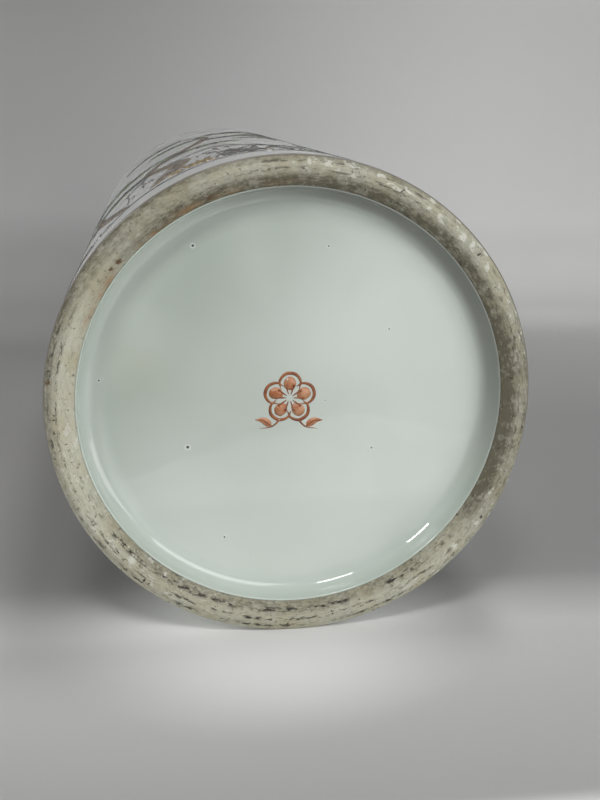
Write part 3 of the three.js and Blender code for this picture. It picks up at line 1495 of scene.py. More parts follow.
@dataclass
class Rock:
    """A weathered garden rock: broken outline, hollows, short texture strokes and gilt edges."""

    foot: Point
    width: float
    height: float
    lean: float = 0.0
    gilded: bool = True
    dark_side: float = 0.0
    stroke_area: float = 26.0

    def edge(self, share: float, brush: Brushwork, bulge: float = 1.0) -> Point:
        """A point on the outline, from the left foot over the top to the right foot."""
        angle = math.pi * (1 - share)
        lump = 1 + 0.22 * noise.noise(Vector((share * 7.0, self.foot[0], brush.seed)))
        x = self.foot[0] + self.width / 2 * math.cos(angle) * lump * bulge
        up = self.height * math.sin(angle) ** 0.7 * lump * bulge
        return x + self.lean * up, self.foot[1] + up

    def paint(self, brush: Brushwork) -> None:
        """Paints the rock.

        Args:
            brush: the surface's brushwork.
        """
        rand = brush.hand
        count = 9
        for i in range(count):
            start, end = i / count + rand.uniform(-0.01, 0.02), (i + 1) / count + rand.uniform(0.0, 0.05)
            shares = [min(1.0, max(0.0, start + (end - start) * j / 5)) for j in range(6)]
            outline = [self.edge(share, brush) for share in shares]
            brush.stroke(Pigment.INK, outline, rand.uniform(0.7, 1.5), StrokeShape.NAIL)
            if self.gilded and i % 2 == 0:
                inner = [self.edge(share, brush, 0.93) for share in shares]
                brush.stroke(Pigment.GILT, inner, rand.uniform(0.5, 0.9))
        for _ in range(4):
            share, inset = rand.uniform(0.2, 0.8), rand.uniform(0.3, 0.75)
            x, y = self.edge(share, brush, inset)
            brush.dot(Pigment.INK, (x, y), rand.uniform(0.8, 2.0), rand.uniform(1.4, 2.6),
                      rand.uniform(0.8, 2.2))
        for _ in range(int(self.width * self.height / self.stroke_area)):
            share, inset = rand.uniform(0.06, 0.94), rand.uniform(0.15, 0.92)
            x, y = self.edge(share, brush, inset)
            run = rand.uniform(2.5, 7.0)
            bend = rand.uniform(-1.2, 1.2)
            dark = rand.random() < 0.45 + self.dark_side * (share - 0.5)
            path = [(x, y), (x + bend, y - run / 2), (x + bend * 0.4, y - run)]
            pigment = Pigment.INK if dark else Pigment.BROWN
            brush.stroke(pigment, path, rand.uniform(0.35, 1.1), StrokeShape.NAIL)


@dataclass
class Bamboo:
    """A bamboo stem in joints, with bunches of leaves."""

    foot: Point
    top: Point
    width: float = 1.8
    joints: int = 9
    bunches: int = 5
    leaf: float = 12.0

    def paint(self, brush: Brushwork) -> None:
        """Paints the stem and its leaves.

        Args:
            brush: the surface's brushwork.
        """
        rand = brush.hand
        foot, top = Vector(self.foot), Vector(self.top)
        knots = [foot.lerp(top, (i / self.joints) ** 0.92) for i in range(self.joints + 1)]
        for i, (a, b) in enumerate(zip(knots, knots[1:])):
            thin = 1 - 0.5 * i / self.joints
            joint = [a, (a + b) / 2, b * 0.985 + a * 0.015]
            brush.stroke(Pigment.GREEN, joint, self.width * thin, StrokeShape.EVEN)
            tick = Vector((self.width * 0.55 * thin, 0.25))
            brush.stroke(Pigment.INK, [b - tick, b + Vector((0, -0.15)), b + tick], 0.4)
        for i in range(self.bunches):
            knot = knots[max(2, self.joints - self.bunches + i + 1)]
            side = -1 if i % 2 else 1
            tip = knot + Vector((side * rand.uniform(4, 9), rand.uniform(3, 8)))
            brush.stroke(Pigment.INK, [knot, (knot + tip) / 2 + Vector((0, 1)), tip], 0.4)
            self.paint_bunch(brush, tip, rand)

    def paint_bunch(self, brush: Brushwork, tip: Vector, rand: random.Random) -> None:
        """Paints leaves that hang from the end of a twig.

        Args:
            brush: the surface's brushwork.
            tip: the twig's end.
            rand: the hand's small errors.
        """
        count = rand.randint(4, 6)
        for j in range(count):
            angle = math.radians(-150 + 120 * j / (count - 1) + rand.uniform(-9, 9))
            reach = self.leaf * rand.uniform(0.65, 1.1)
            end = tip + unit(angle) * reach
            sag = (tip + end) / 2 + Vector((0, rand.uniform(0.2, 1.2)))
            pigment = Pigment.INK if rand.random() < 0.6 else Pigment.GREEN
            brush.stroke(pigment, [tip, sag, end], rand.uniform(1.3, 2.1), StrokeShape.LEAF)


@dataclass
class Blossom:
    """A five-petalled plum blossom."""

    centre: Point
    radius: float
    turn: float = 0.0
    stamens: int = 7
    fill: float = 0.36

    def paint(self, brush: Brushwork) -> None:
        """Paints petals, then their outlines, heart and stamens.

        Args:
            brush: the surface's brushwork.
        """
        for i in range(5):
            angle = self.turn + math.tau * i / 5
            out = unit(angle)
            middle = Vector(self.centre) + out * self.radius * 0.56
            brush.dot(Pigment.RED, middle, self.radius * self.fill, 1.16, angle)
            rim = [middle + unit(angle + a) * self.radius * 0.41
                   for a in (-2.1, -1.3, -0.45, 0.45, 1.3, 2.1)]
            brush.stroke(Pigment.RED_LINE, rim, self.radius * 0.13)
        for i in range(self.stamens):
            angle = self.turn + math.tau * (i + 0.5) / self.stamens
            out = unit(angle)
            ends = [Vector(self.centre) + out * self.radius * share for share in (0.12, 0.3, 0.5)]
            brush.stroke(Pigment.RED_LINE, ends, self.radius * 0.055)
            if self.radius > 5:
                brush.dot(Pigment.RED_LINE, ends[-1], self.radius * 0.055, sides=8)


@dataclass
class PlumTree:
    """An old plum trunk with crooked branches, buds and blossoms."""

    trunk: Sequence[Point]
    width: float
    branches: int = 9
    spread: float = 34.0

    def paint(self, brush: Brushwork) -> None:
        """Paints the trunk, its bark and its branches.

        Args:
            brush: the surface's brushwork.
        """
        rand = brush.hand
        brush.stroke(Pigment.BROWN, self.trunk, self.width, StrokeShape.NAIL)
        for side in (-1, 1):
            path = []
            for i in range(13):
                place, direction = along(self.trunk, i / 12)
                off = self.width / 2 * StrokeShape.NAIL.width(i / 12) * side * rand.uniform(0.85, 1.15)
                path.append(tuple(place + beside(direction) * off))
            for start in (0, 4, 8):
                brush.stroke(Pigment.INK, path[start:start + 5], rand.uniform(0.7, 1.3), StrokeShape.NAIL)
        for _ in range(26):
            share = rand.uniform(0.02, 0.85)
            place, direction = along(self.trunk, share)
            across = beside(direction) * rand.uniform(-0.4, 0.4) * self.width * (1 - share)
            start = place + across
            mark = [start, start + direction * 1.5, start + direction * rand.uniform(2.5, 4.5)]
            brush.stroke(Pigment.INK, mark, 0.45)
        for i in range(self.branches):
            share = 0.3 + 0.7 * i / self.branches
            place, direction = along(self.trunk, share)
            side = -1 if i % 2 else 1
            heading = math.atan2(direction.y, direction.x) + side * rand.uniform(0.5, 1.0)
            self.paint_branch(brush, place, heading, self.spread * rand.uniform(0.6, 1.1), 2)

    def paint_branch(self, brush: Brushwork, start: Vector, heading: float, reach: float, forks: int) -> None:
        """Paints a branch, its flowers and its forks.

        Args:
            brush: the surface's brushwork.
            start: where it leaves.
            heading: its direction in radians.
            reach: its length in millimetres.
            forks: how many times more it may fork.
        """
        rand = brush.hand
        path, place = [start], start
        for _ in range(3):
            heading += rand.uniform(-0.45, 0.45)
            place = place + unit(heading) * reach / 3
            path.append(place)
        brush.stroke(Pigment.INK, path, 0.45 + reach / 26, StrokeShape.NAIL)
        for share in (0.55, 0.8, 1.0):
            spot, _ = along(path, share)
            if rand.random() < 0.4:
                Blossom(tuple(spot + Vector((rand.uniform(-1.5, 1.5), rand.uniform(-1.5, 1.5)))),
                        rand.uniform(2.6, 3.8), rand.uniform(0, 1.2), 5).paint(brush)
            else:
                brush.dot(Pigment.RED, spot, rand.uniform(0.6, 1.1))
        if forks:
            for side in (-1, 1):
                spot, way = along(path, rand.uniform(0.35, 0.75))
                turn = math.atan2(way.y, way.x) + side * rand.uniform(0.4, 0.9)
                self.paint_branch(brush, spot, turn, reach * rand.uniform(0.4, 0.6), forks - 1)


@dataclass
class Pine:
    """An old pine: a leaning trunk, level boughs and fans of needles."""

    trunk: Sequence[Point]
    width: float
    boughs: int = 7
    reach: float = 20.0
    needle: float = 7.5

    def paint(self, brush: Brushwork) -> None:
        """Paints the trunk, its scales, the boughs and the needles.

        Args:
            brush: the surface's brushwork.
        """
        rand = brush.hand
        brush.stroke(Pigment.BROWN, self.trunk, self.width, StrokeShape.NAIL)
        for _ in range(40):
            place, direction = along(self.trunk, rand.uniform(0.0, 0.8))
            spot = place + beside(direction) * rand.uniform(-0.35, 0.35) * self.width * 0.8
            brush.dot(Pigment.INK, spot, rand.uniform(0.35, 0.7), rand.uniform(1.2, 2.2),
                      rand.uniform(0, 3), 8)
        for i in range(self.boughs):
            start, _ = along(self.trunk, 0.35 + 0.65 * i / (self.boughs - 1))
            side = -1 if i % 2 else 1
            tip = start + Vector((side * self.reach * rand.uniform(0.7, 1.1), rand.uniform(-2, 7)))
            bough = [start, (start + tip) / 2 + Vector((0, rand.uniform(-3, 3))), tip]
            brush.stroke(Pigment.INK, bough, 1.3, StrokeShape.NAIL)
            for share in (0.35, 0.6, 0.82, 1.0):
                spot, _ = along(bough, share)
                self.paint_fan(brush, spot + Vector((0, rand.uniform(-1, 2))))

    def paint_fan(self, brush: Brushwork, heart: Vector) -> None:
        """Paints one fan of needles.

        Args:
            brush: the surface's brushwork.
            heart: where the needles meet.
        """
        count = 13
        for j in range(count):
            angle = math.radians(-12 + 204 * j / (count - 1) + brush.hand.uniform(-5, 5))
            tip = heart + unit(angle) * self.needle * brush.hand.uniform(0.75, 1.05)
            pigment = Pigment.INK if j % 3 else Pigment.GREEN
            brush.stroke(pigment, [heart, (heart + tip) / 2, tip], 0.38, StrokeShape.NAIL)


@dataclass
class Tuft:
    """A tuft of grass."""

    foot: Point
    blades: int = 6
    reach: float = 9.0

    def paint(self, brush: Brushwork) -> None:
        """Paints the blades.

        Args:
            brush: the surface's brushwork.
        """
        rand = brush.hand
        foot = Vector(self.foot)
        for _ in range(self.blades):
            lean, reach = rand.uniform(-0.9, 0.9), self.reach * rand.uniform(0.5, 1.1)
            tip = foot + Vector((lean * reach, reach * (1 - 0.35 * abs(lean))))
            middle = foot + Vector((lean * reach * 0.3, reach * 0.6))
            pigment = Pigment.INK if rand.random() < 0.5 else Pigment.GREEN
            brush.stroke(pigment, [foot, middle, tip], rand.uniform(0.5, 0.9), StrokeShape.NAIL)


@dataclass
class WallPainting:
    """Rocks, pine, bamboo and plum blossom round the wall, over a thin ground line.

    Places are a turn in degrees from the photograph's right, anticlockwise as seen from the foot,
    and a height over the foot in millimetres.
    """

    sizes: StandSizes
    seed: int = 11
    ground_height: float = 23.0

    def paint(self, materials: dict[Pigment, bpy.types.Material]) -> list[bpy.types.Object]:
        """Paints the wall.

        Args:
            materials: finish of each pigment.

        Returns:
            The pieces.
        """
        wall = WallSheet(self.sizes.glaze_radius)
        brush = Brushwork(wall, self.seed)
        self.paint_ground(brush, wall)
        self.paint_dark_rock(brush, wall)
        for turn, height, width, tall, gilded, stroke_area in (
                (110, 27, 46, 62, False, 60), (93, 27, 26, 30, False, 60), (226, 26, 44, 58, True, 26),
                (252, 26, 24, 26, False, 26), (330, 26, 36, 44, True, 26), (20, 26, 22, 20, False, 26)):
            Rock(wall.at(turn, height), width, tall, 0.08, gilded, 0.5, stroke_area).paint(brush)
        for turn, top_turn, top, width in (
                (84, 72, 232, 2.2), (78, 80, 205, 1.8), (66, 52, 248, 2.2),
                (338, 350, 214, 2.0), (326, 318, 186, 1.7)):
            Bamboo(wall.at(turn, 34), wall.at(top_turn, top), width).paint(brush)
        pine = wall.line((124, 30), (116, 66), (126, 98), (110, 134), (104, 176), (112, 206))
        Pine(pine, 8.0).paint(brush)
        low_pine = wall.line((133, 28), (142, 60), (146, 92), (150, 128), (146, 146))
        Pine(low_pine, 5.0, 5, 12.0, 6.0).paint(brush)
        plum = wall.line((184, 27), (180, 60), (194, 92), (186, 128), (206, 160), (224, 190))
        PlumTree(plum, 8.5, 9, 34.0).paint(brush)
        low_plum = wall.line((268, 28), (276, 70), (266, 104), (284, 136), (300, 160))
        PlumTree(low_plum, 5.5, 6, 26.0).paint(brush)
        for turn in (6, 30, 48, 152, 168, 186, 204, 270, 288, 306, 352):
            Tuft(wall.at(turn, self.ground_height + brush.hand.uniform(0, 4))).paint(brush)
        return brush.finish("wall_enamel", materials, "wall_glaze")

    def paint_ground(self, brush: Brushwork, wall: WallSheet) -> None:
        """Paints the thin broken line of the ground and its gravel.

        Args:
            brush: the wall's brushwork.
            wall: the wall's sheet.
        """
        rand = brush.hand
        for start in range(0, 360, 24):
            run = rand.uniform(18, 27)
            path = [wall.at(start + run * i / 6, self.ground_height + rand.uniform(-0.7, 0.9))
                    for i in range(7)]
            brush.stroke(Pigment.INK, path, rand.uniform(0.4, 0.7))
        for _ in range(90):
            spot = wall.at(rand.uniform(0, 360), self.ground_height + rand.uniform(1.5, 7))
            brush.dot(Pigment.INK, spot, rand.uniform(0.2, 0.45), rand.uniform(1.0, 2.0), sides=8)

    def paint_dark_rock(self, brush: Brushwork, wall: WallSheet) -> None:
        """Paints the low black rock with its gilt face, on the side that the photograph shows.

        Args:
            brush: the wall's brushwork.
            wall: the wall's sheet.
        """
        rand = brush.hand
        for i in range(11):
            x, y = wall.at(98 + i * 0.75, 29 + rand.uniform(-1.5, 2.5))
            path = [(x, y), (x + rand.uniform(-1.5, 1.5), y + 8),
                    (x + rand.uniform(-1, 2.5), y + rand.uniform(13, 19))]
            brush.stroke(Pigment.INK, path, rand.uniform(1.2, 2.2), StrokeShape.LEAF)
        for i in range(16):
            x, y = wall.at(107 + i * 0.85, 29 + rand.uniform(-1, 3))
            path = [(x, y), (x + rand.uniform(-2, 2), y + 6),
                    (x + rand.uniform(-2, 3), y + rand.uniform(8, 16))]
            pigment = Pigment.GILT if i % 2 else Pigment.BROWN
            brush.stroke(pigment, path, rand.uniform(0.8, 1.7), StrokeShape.LEAF)


@dataclass
class BaseOrnament:
    """A plum blossom with two leaves, painted where the base has its ornament."""

    sizes: StandSizes
    radius: float = 6.6
    seed: int = 4

    def paint(self, materials: dict[Pigment, bpy.types.Material]) -> list[bpy.types.Object]:
        """Paints the ornament.

        Args:
            materials: finish of each pigment.

        Returns:
            The pieces.
        """
        brush = Brushwork(BaseSheet(self.sizes.underside), self.seed, sunk=0.08, detail=0.5)
        Blossom((0.0, 0.0), self.radius, math.radians(-90), 10, 0.24).paint(brush)
        for side in (-1, 1):
            stem = [(side * 2.2, 5.4), (side * 4.2, 7.4), (side * 7.4, 8.0)]
            brush.stroke(Pigment.RED_LINE, stem, 0.55, StrokeShape.NAIL)
            leaf = [(side * 4.4, 7.3), (side * 6.4, 5.9), (side * 8.6, 5.7)]
            brush.stroke(Pigment.RED, leaf, 1.9, StrokeShape.LEAF)
            brush.stroke(Pigment.RED_LINE, leaf, 0.4)
        return brush.finish("base_ornament", materials, "base_glaze")


# Finishes of the painting

class WashTone(Enum):
    """Thin washes of the wall painting."""

    INK = (0.13, 0.13, 0.135)
    PALE_INK = (0.36, 0.365, 0.375)
    BROWN = (0.27, 0.19, 0.11)


@dataclass(frozen=True)
class Wash:
    """A soft patch of thin enamel: turn in degrees, the rest in millimetres."""

    turn: float
    height: float
    half_width: float
    half_height: float
    tone: WashTone
    strength: float


WASHES = (
    Wash(120, 226, 34, 20, WashTone.PALE_INK, 0.55), Wash(108, 214, 22, 12, WashTone.PALE_INK, 0.5),
    Wash(140, 132, 20, 50, WashTone.PALE_INK, 0.55), Wash(122, 140, 18, 46, WashTone.PALE_INK, 0.5),
    Wash(98, 146, 14, 44, WashTone.PALE_INK, 0.45), Wash(142, 214, 26, 22, WashTone.PALE_INK, 0.5),
    Wash(102, 38, 8, 11, WashTone.INK, 0.75), Wash(114, 38, 8, 10, WashTone.BROWN, 0.7),
    Wash(108, 62, 20, 30, WashTone.PALE_INK, 0.55), Wash(100, 108, 12, 22, WashTone.BROWN, 0.45),
    Wash(112, 112, 16, 26, WashTone.INK, 0.5), Wash(103, 168, 15, 18, WashTone.BROWN, 0.4),
    Wash(113, 176, 16, 14, WashTone.INK, 0.45), Wash(147, 104, 12, 38, WashTone.INK, 0.6),
    Wash(130, 78, 16, 42, WashTone.PALE_INK, 0.5), Wash(137, 172, 24, 34, WashTone.PALE_INK, 0.45),
    Wash(226, 48, 22, 30, WashTone.PALE_INK, 0.6), Wash(221, 38, 12, 14, WashTone.BROWN, 0.45),
    Wash(330, 44, 18, 24, WashTone.PALE_INK, 0.6), Wash(286, 138, 30, 10, WashTone.PALE_INK, 0.35),
    Wash(308, 150, 22, 13, WashTone.PALE_INK, 0.3), Wash(20, 128, 30, 11, WashTone.PALE_INK, 0.3),
    Wash(36, 140, 18, 9, WashTone.PALE_INK, 0.35),
)


def make_wash() -> bpy.types.NodeTree:
    """Group that masks one soft patch of a painting on the wall.

    Returns:
        The group. Around is the way round the wall and Height is upwards, in millimetres, Limit
        is half the way round, and Broad and Fine are noises that break its edge and its inside.
    """
    graph, given, target = new_group(
        "wash",
        {"Around": "Float", "Height": "Float", "Broad": "Float", "Fine": "Float", "Limit": "Float",
         "Centre Around": "Float", "Centre Height": "Float", "Half Width": "Float", "Half Height": "Float"},
        {"Mask": "Float"},
    )
    apart = graph.minus(given["Around"], given["Centre Around"])
    across = graph.math("WRAP", apart, given["Limit"], graph.times(given["Limit"], -1.0))
    across = graph.math("DIVIDE", across, given["Half Width"])
    upwards = graph.minus(given["Height"], given["Centre Height"])
    upwards = graph.math("DIVIDE", upwards, given["Half Height"])
    inside = graph.minus(1.0, graph.length(across, upwards))
    broken = graph.times(graph.minus(given["Broad"], 0.5), 3.2)
    strokes = graph.times(graph.minus(given["Fine"], 0.5), 2.4)
    body = graph.fade(graph.plus(inside, graph.times(broken, 0.8)), -0.05, 0.7)
    graph.feed(target.inputs["Mask"], graph.times(body, graph.fade(strokes, -0.7, 0.45)))
    return graph.tree


class PaintedGlazeFinish(WallGlazeFinish):
    """The wall's glaze outside, with the painting's thin washes."""

    name = "painted_wall_glaze"

    def __init__(self, groups: SharedGroups, sizes: StandSizes, washes: Sequence[Wash]) -> None:
        """Keeps the shared groups, the stand's sizes and the washes."""
        super().__init__(groups)
        self.sizes = sizes
        self.washes = washes

    def tint(self, graph: Graph, color: Socket) -> Socket:
        """Lays the washes over the glaze.

        Args:
            graph: the material's nodes.
            color: the glaze's colour.

        Returns:
            The washed colour.
        """
        place = graph.place()
        at = graph.use(self.groups.round_place, Place=place)
        around = graph.times(at.outputs["Turn"], -self.sizes.glaze_radius)
        height = at.outputs["Height"]
        sheet = graph.vector(around, graph.times(height, 0.6), 0.0)
        broad = graph.noise(place, 55.0, 4.0, 0.6)
        fine = graph.noise(sheet, 0.75, 5.0, 0.68, 0.8)
        group = make_wash()
        for wash in self.washes:
            patch = graph.use(
                group, Around=around, Height=height, Broad=broad, Fine=fine,
                Limit=math.pi * self.sizes.glaze_radius,
                Centre_Around=math.radians(wash.turn) * self.sizes.glaze_radius,
                Centre_Height=wash.height, Half_Width=wash.half_width, Half_Height=wash.half_height)
            amount = graph.times(patch.outputs["Mask"], wash.strength)
            color = graph.mix(amount, color, wash.tone.value)
        return color


@dataclass(frozen=True)
class EnamelTones:
    """Look of one enamel where it lies thick and thin."""

    thick: Color
    thin: Color
    roughness: float
    metallic: float = 0.0
    worn: Color = (0.5, 0.5, 0.47)
    wear: float = 0.25


ENAMELS = {
    Pigment.INK: EnamelTones((0.022, 0.021, 0.02), (0.09, 0.085, 0.08), 0.28),
    Pigment.BROWN: EnamelTones((0.095, 0.066, 0.042), (0.215, 0.165, 0.115), 0.3),
    Pigment.RED: EnamelTones((0.34, 0.12, 0.045), (0.46, 0.24, 0.135), 0.34),
    Pigment.RED_LINE: EnamelTones((0.17, 0.05, 0.017), (0.27, 0.095, 0.035), 0.34),
    Pigment.GREEN: EnamelTones((0.10, 0.135, 0.075), (0.22, 0.26, 0.16), 0.22),
    Pigment.GILT: EnamelTones((0.62, 0.47, 0.25), (0.50, 0.36, 0.18), 0.34, 1.0, (0.20, 0.14, 0.08), 0.5),
}


class EnamelFinish(Finish):
    """Fired enamel: pooled and thin places, rubbed spots, a slightly grainy surface."""

    def __init__(self, groups: SharedGroups, pigment: Pigment, tones: EnamelTones) -> None:
        """Keeps the shared groups, the enamel's look and its name."""
        super().__init__(groups)
        self.tones = tones
        self.name = f"enamel_{pigment.value}"

    def lay_out(self, graph: Graph, shader: bpy.types.Node) -> None:
        """Adds pooling, rubbing and grain.

        Args:
            graph: the material's nodes.
            shader: its Principled BSDF.
        """
        place = graph.place()
        pooled = graph.fade(graph.noise(place, 420.0, 3.0), 0.35, 0.65)
        color = graph.mix(pooled, self.tones.thin, self.tones.thick)
        rubbed = graph.use(self.groups.specks, Place=place, Scale=520.0, Amount=self.tones.wear,
                           Softness=0.05)
        bare = rubbed.outputs["Mask"]
        color = graph.mix(bare, color, self.tones.worn)
        graph.feed(shader.inputs["Base Color"], color)
        if self.tones.metallic:
            graph.feed(shader.inputs["Metallic"], graph.times(graph.minus(1.0, bare), self.tones.metallic))
        rough = graph.times(graph.noise(place, 700.0, 2.0), 0.25)
        graph.feed(shader.inputs["Roughness"], graph.plus(self.tones.roughness - 0.12, rough))
        graph.feed(shader.inputs["Normal"], graph.bump(graph.noise(place, 1500.0, 3.0), 0.00003))


# Stage, lamps and camera

@dataclass(frozen=True)
class PaperGreyAndShade:
    """Grey of the paper with its painted light and shade, at one distance along it in metres, on its left and
    on its right.
    """

    reach: float
    left: float
    right: float


# Painted light and shade on the paper: a darker band behind the foot, lighter paper just in front of it and
# up the backdrop, and different greys on the left and the right.
PAPER_GREYS_AND_SHADE = (
    PaperGreyAndShade(-0.130, 0.21, 0.21), PaperGreyAndShade(-0.060, 0.31, 0.25), PaperGreyAndShade(-0.030, 0.185, 0.14),
    PaperGreyAndShade(0.130, 0.18, 0.18), PaperGreyAndShade(0.290, 0.20, 0.26), PaperGreyAndShade(0.350, 0.22, 0.33),
    PaperGreyAndShade(0.420, 0.35, 0.52), PaperGreyAndShade(0.540, 0.24, 0.42),
)


@dataclass
class Stage:
    """The pale paper sweep of the photograph and a pale floor under the upright stand.

    The sweep lies beside the upright stand. It is seen only from its front, so that other views
    look through it, and lamps behind it still light the stand.
    """

    sizes: StandSizes
    roll: float = 2.0
    front_edge: float = -200.0
    bend_start: float = 362.0
    bend_radius: float = 50.0
    backdrop_top: float = 330.0
    half_width: float = 900.0
    glow_centre: Point = (-0.004, 0.004)
    glow_size: Point = (0.060, 0.058)
    glow_strength: float = 0.25
    sheet_tip: Point = (0.05, -0.19)
    sheet_slope: float = 0.8
    sheet_blur: float = 0.004
    sheet_end: Point = (-0.074, -0.086)
    sheet_strength: float = 0.6

    def build(self) -> None:
        """Makes the sweep and the floor."""
        self.make_sweep()
        self.make_floor()

    def make_sweep(self) -> None:
        """Makes the paper: a floor at the wall's side, a bend and a backdrop beyond the mouth."""
        below = self.sizes.glaze_radius
        outline = [(self.front_edge, below), (self.bend_start, below)]
        centre = (self.bend_start, below - self.bend_radius)
        outline += [(centre[0] + self.bend_radius * math.sin(a), centre[1] + self.bend_radius * math.cos(a))
                    for a in (math.radians(6 * i) for i in range(1, 16))]
        outline.append((outline[-1][0], below - self.backdrop_top))
        mesh = bmesh.new()
        row = [mesh.verts.new((-self.half_width * MM, y * MM, z * MM)) for z, y in outline]
        edges = [mesh.edges.new(pair) for pair in zip(row, row[1:])]
        wide = bmesh.ops.extrude_edge_only(mesh, edges=edges)
        moved = [v for v in wide["geom"] if isinstance(v, bmesh.types.BMVert)]
        bmesh.ops.translate(mesh, verts=moved, vec=(2 * self.half_width * MM, 0, 0))
        roll = Matrix.Rotation(math.radians(-self.roll), 3, "Z")
        bmesh.ops.rotate(mesh, verts=mesh.verts, cent=(0, 0, 0), matrix=roll)
        self.stage_piece("paper_sweep", mesh, self.sweep_material(), Vector((0, -1, 0)))

    def make_floor(self) -> None:
        """Makes the floor under the upright stand, which only a camera above it sees."""
        mesh = bmesh.new()
        bmesh.ops.create_grid(mesh, x_segments=1, y_segments=1, size=3.0)
        self.stage_piece("upright_floor", mesh, self.floor_material(), Vector((0, 0, 1)))

    @staticmethod
    def stage_piece(name: str, mesh: bmesh.types.BMesh, material: bpy.types.Material, front: Vector) -> None:
        """Adds a stage piece whose first face looks to its front.

        Args:
            name: the piece's name.
            mesh: its shape, which is freed.
            material: its finish.
            front: the way its first face has to look.
        """
        mesh.normal_update()
        mesh.faces.ensure_lookup_table()
        if mesh.faces[0].normal.dot(front) < 0:
            bmesh.ops.reverse_faces(mesh, faces=mesh.faces)
        piece = make_object(name, mesh, material)

    def sweep_material(self) -> bpy.types.Material:
        """Paper that is clear from behind and to shadows, with painted light and shade.

        Returns:
            The material.
        """
        material, graph, surface = new_material("paper")
        place = graph.place()
        x, y, z = graph.parts(place)
        reach = graph.minus(z, y)
        left = self.tone_ramp(graph, reach, [(tone.reach, tone.left) for tone in PAPER_GREYS_AND_SHADE])
        right = self.tone_ramp(graph, reach, [(tone.reach, tone.right) for tone in PAPER_GREYS_AND_SHADE])
        # Painted light and shade across and along the paper.
        color = graph.mix(graph.fade(x, -0.10, 0.18), left, right)
        # Painted pool of light close to the foot.
        color = graph.mix(self.glow(graph, x, z), color, (1.0, 1.0, 0.98))
        color = graph.mix(self.pale_sheet(graph, x, z), color, (0.9, 0.9, 0.9))
        mottle = graph.fade(graph.noise(place, 9.0, 3.0), 0.2, 0.8)
        color = graph.mix(graph.times(mottle, 0.05), color, (0.1, 0.1, 0.1))
        paper = graph.node("BsdfDiffuse")
        graph.feed(paper.inputs["Color"], color)
        behind = graph.node("NewGeometry").outputs["Backfacing"]
        shadow = graph.node("LightPath").outputs["Is Shadow Ray"]
        self.clear_where(graph, surface, graph.math("MAXIMUM", behind, shadow), paper)
        return material

    def glow(self, graph: Graph, x: Socket, z: Socket) -> Socket:
        """Painted pool of light on the paper close to the foot, as thrown back from the glazed base.

        Args:
            graph: the material's nodes.
            x: place across the paper in metres.
            z: place along it.

        Returns:
            The mask.
        """
        across = graph.math("DIVIDE", graph.minus(x, self.glow_centre[0]), self.glow_size[0])
        beyond = graph.math("DIVIDE", graph.minus(z, self.glow_centre[1]), self.glow_size[1])
        return graph.times(graph.fade(graph.length(across, beyond), 1.0, 0.25), self.glow_strength)

    def pale_sheet(self, graph: Graph, x: Socket, z: Socket) -> Socket:
        """Paler paper outside the picture, which the glazed base mirrors.

        Args:
            graph: the material's nodes.
            x: place across the paper in metres.
            z: place along it.

        Returns:
            The mask.
        """
        aside = graph.math("ABSOLUTE", graph.minus(x, self.sheet_tip[0]))
        inside = graph.minus(graph.minus(z, self.sheet_tip[1]), graph.times(aside, self.sheet_slope))
        return graph.times(graph.fade(inside, 0.0, self.sheet_blur), graph.fade(z, *self.sheet_end),
                           self.sheet_strength)

    def floor_material(self) -> bpy.types.Material:
        """Floor that only a camera above it sees.

        Returns:
            The material.
        """
        material, graph, surface = new_material("pale_floor")
        paper = graph.node("BsdfDiffuse")
        paper.inputs["Color"].default_value = (0.62, 0.62, 0.61, 1.0)
        behind = graph.node("NewGeometry").outputs["Backfacing"]
        camera = graph.node("LightPath").outputs["Is Camera Ray"]
        hidden = graph.math("MAXIMUM", behind, graph.minus(1.0, camera))
        self.clear_where(graph, surface, hidden, paper)
        return material

    @staticmethod
    def tone_ramp(graph: Graph, reach: Socket, stops: Sequence[tuple[float, float]]) -> Socket:
        """Greys that change along the paper.

        Args:
            graph: the material's nodes.
            reach: distance along the paper in metres.
            stops: distances and greys, in order.

        Returns:
            The colour.
        """
        first, last = stops[0][0], stops[-1][0]
        share = graph.math("DIVIDE", graph.minus(reach, first), last - first)
        made = graph.node("ValToRGB")
        graph.feed(made.inputs[0], share)
        elements = made.color_ramp.elements
        while len(elements) < len(stops):
            elements.new(0.5)
        for element, (distance, grey) in zip(elements, stops):
            element.position = (distance - first) / (last - first)
            element.color = (grey, grey, grey * 0.99, 1.0)
        return made.outputs[0]

    @staticmethod
    def clear_where(graph: Graph, surface: Socket, hidden: Socket, shader: bpy.types.Node) -> None:
        """Shows a shader except where a mask hides it.

        Args:
            graph: the material's nodes.
            surface: the output's surface input.
            hidden: 1 where the material is clear.
            shader: what it shows elsewhere.
        """
        blend = graph.node("MixShader")
        graph.feed(blend.inputs[0], hidden)
        graph.feed(blend.inputs[1], shader.outputs[0])
        graph.feed(blend.inputs[2], graph.node("BsdfTransparent").outputs[0])
        graph.feed(surface, blend.outputs[0])


@dataclass(frozen=True)
class Lamp:
    """A soft rectangular lamp that faces the stand, or lights one stage piece alone."""

    name: str
    place: Vector
    size: tuple[float, float]
    power: float
    aim: Vector = Vector((0.0, 0.0, 0.0))
    only: str | None = None

    def build(self) -> None:
        """Adds the lamp to the scene."""
        data = bpy.data.lights.new(self.name, "AREA")
        data.shape = "RECTANGLE"
        data.size, data.size_y = self.size
        data.energy = self.power
        lamp = bpy.data.objects.new(self.name, data)
        lamp.location = self.place
        lamp.rotation_euler = (self.aim - self.place).to_track_quat("-Z", "Y").to_euler()
        bpy.context.scene.collection.objects.link(lamp)
        if self.only:
            lit = bpy.data.collections.new(f"lit_by_{self.name}")
            lit.objects.link(bpy.data.objects[self.only])
            lamp.light_linking.receiver_collection = lit


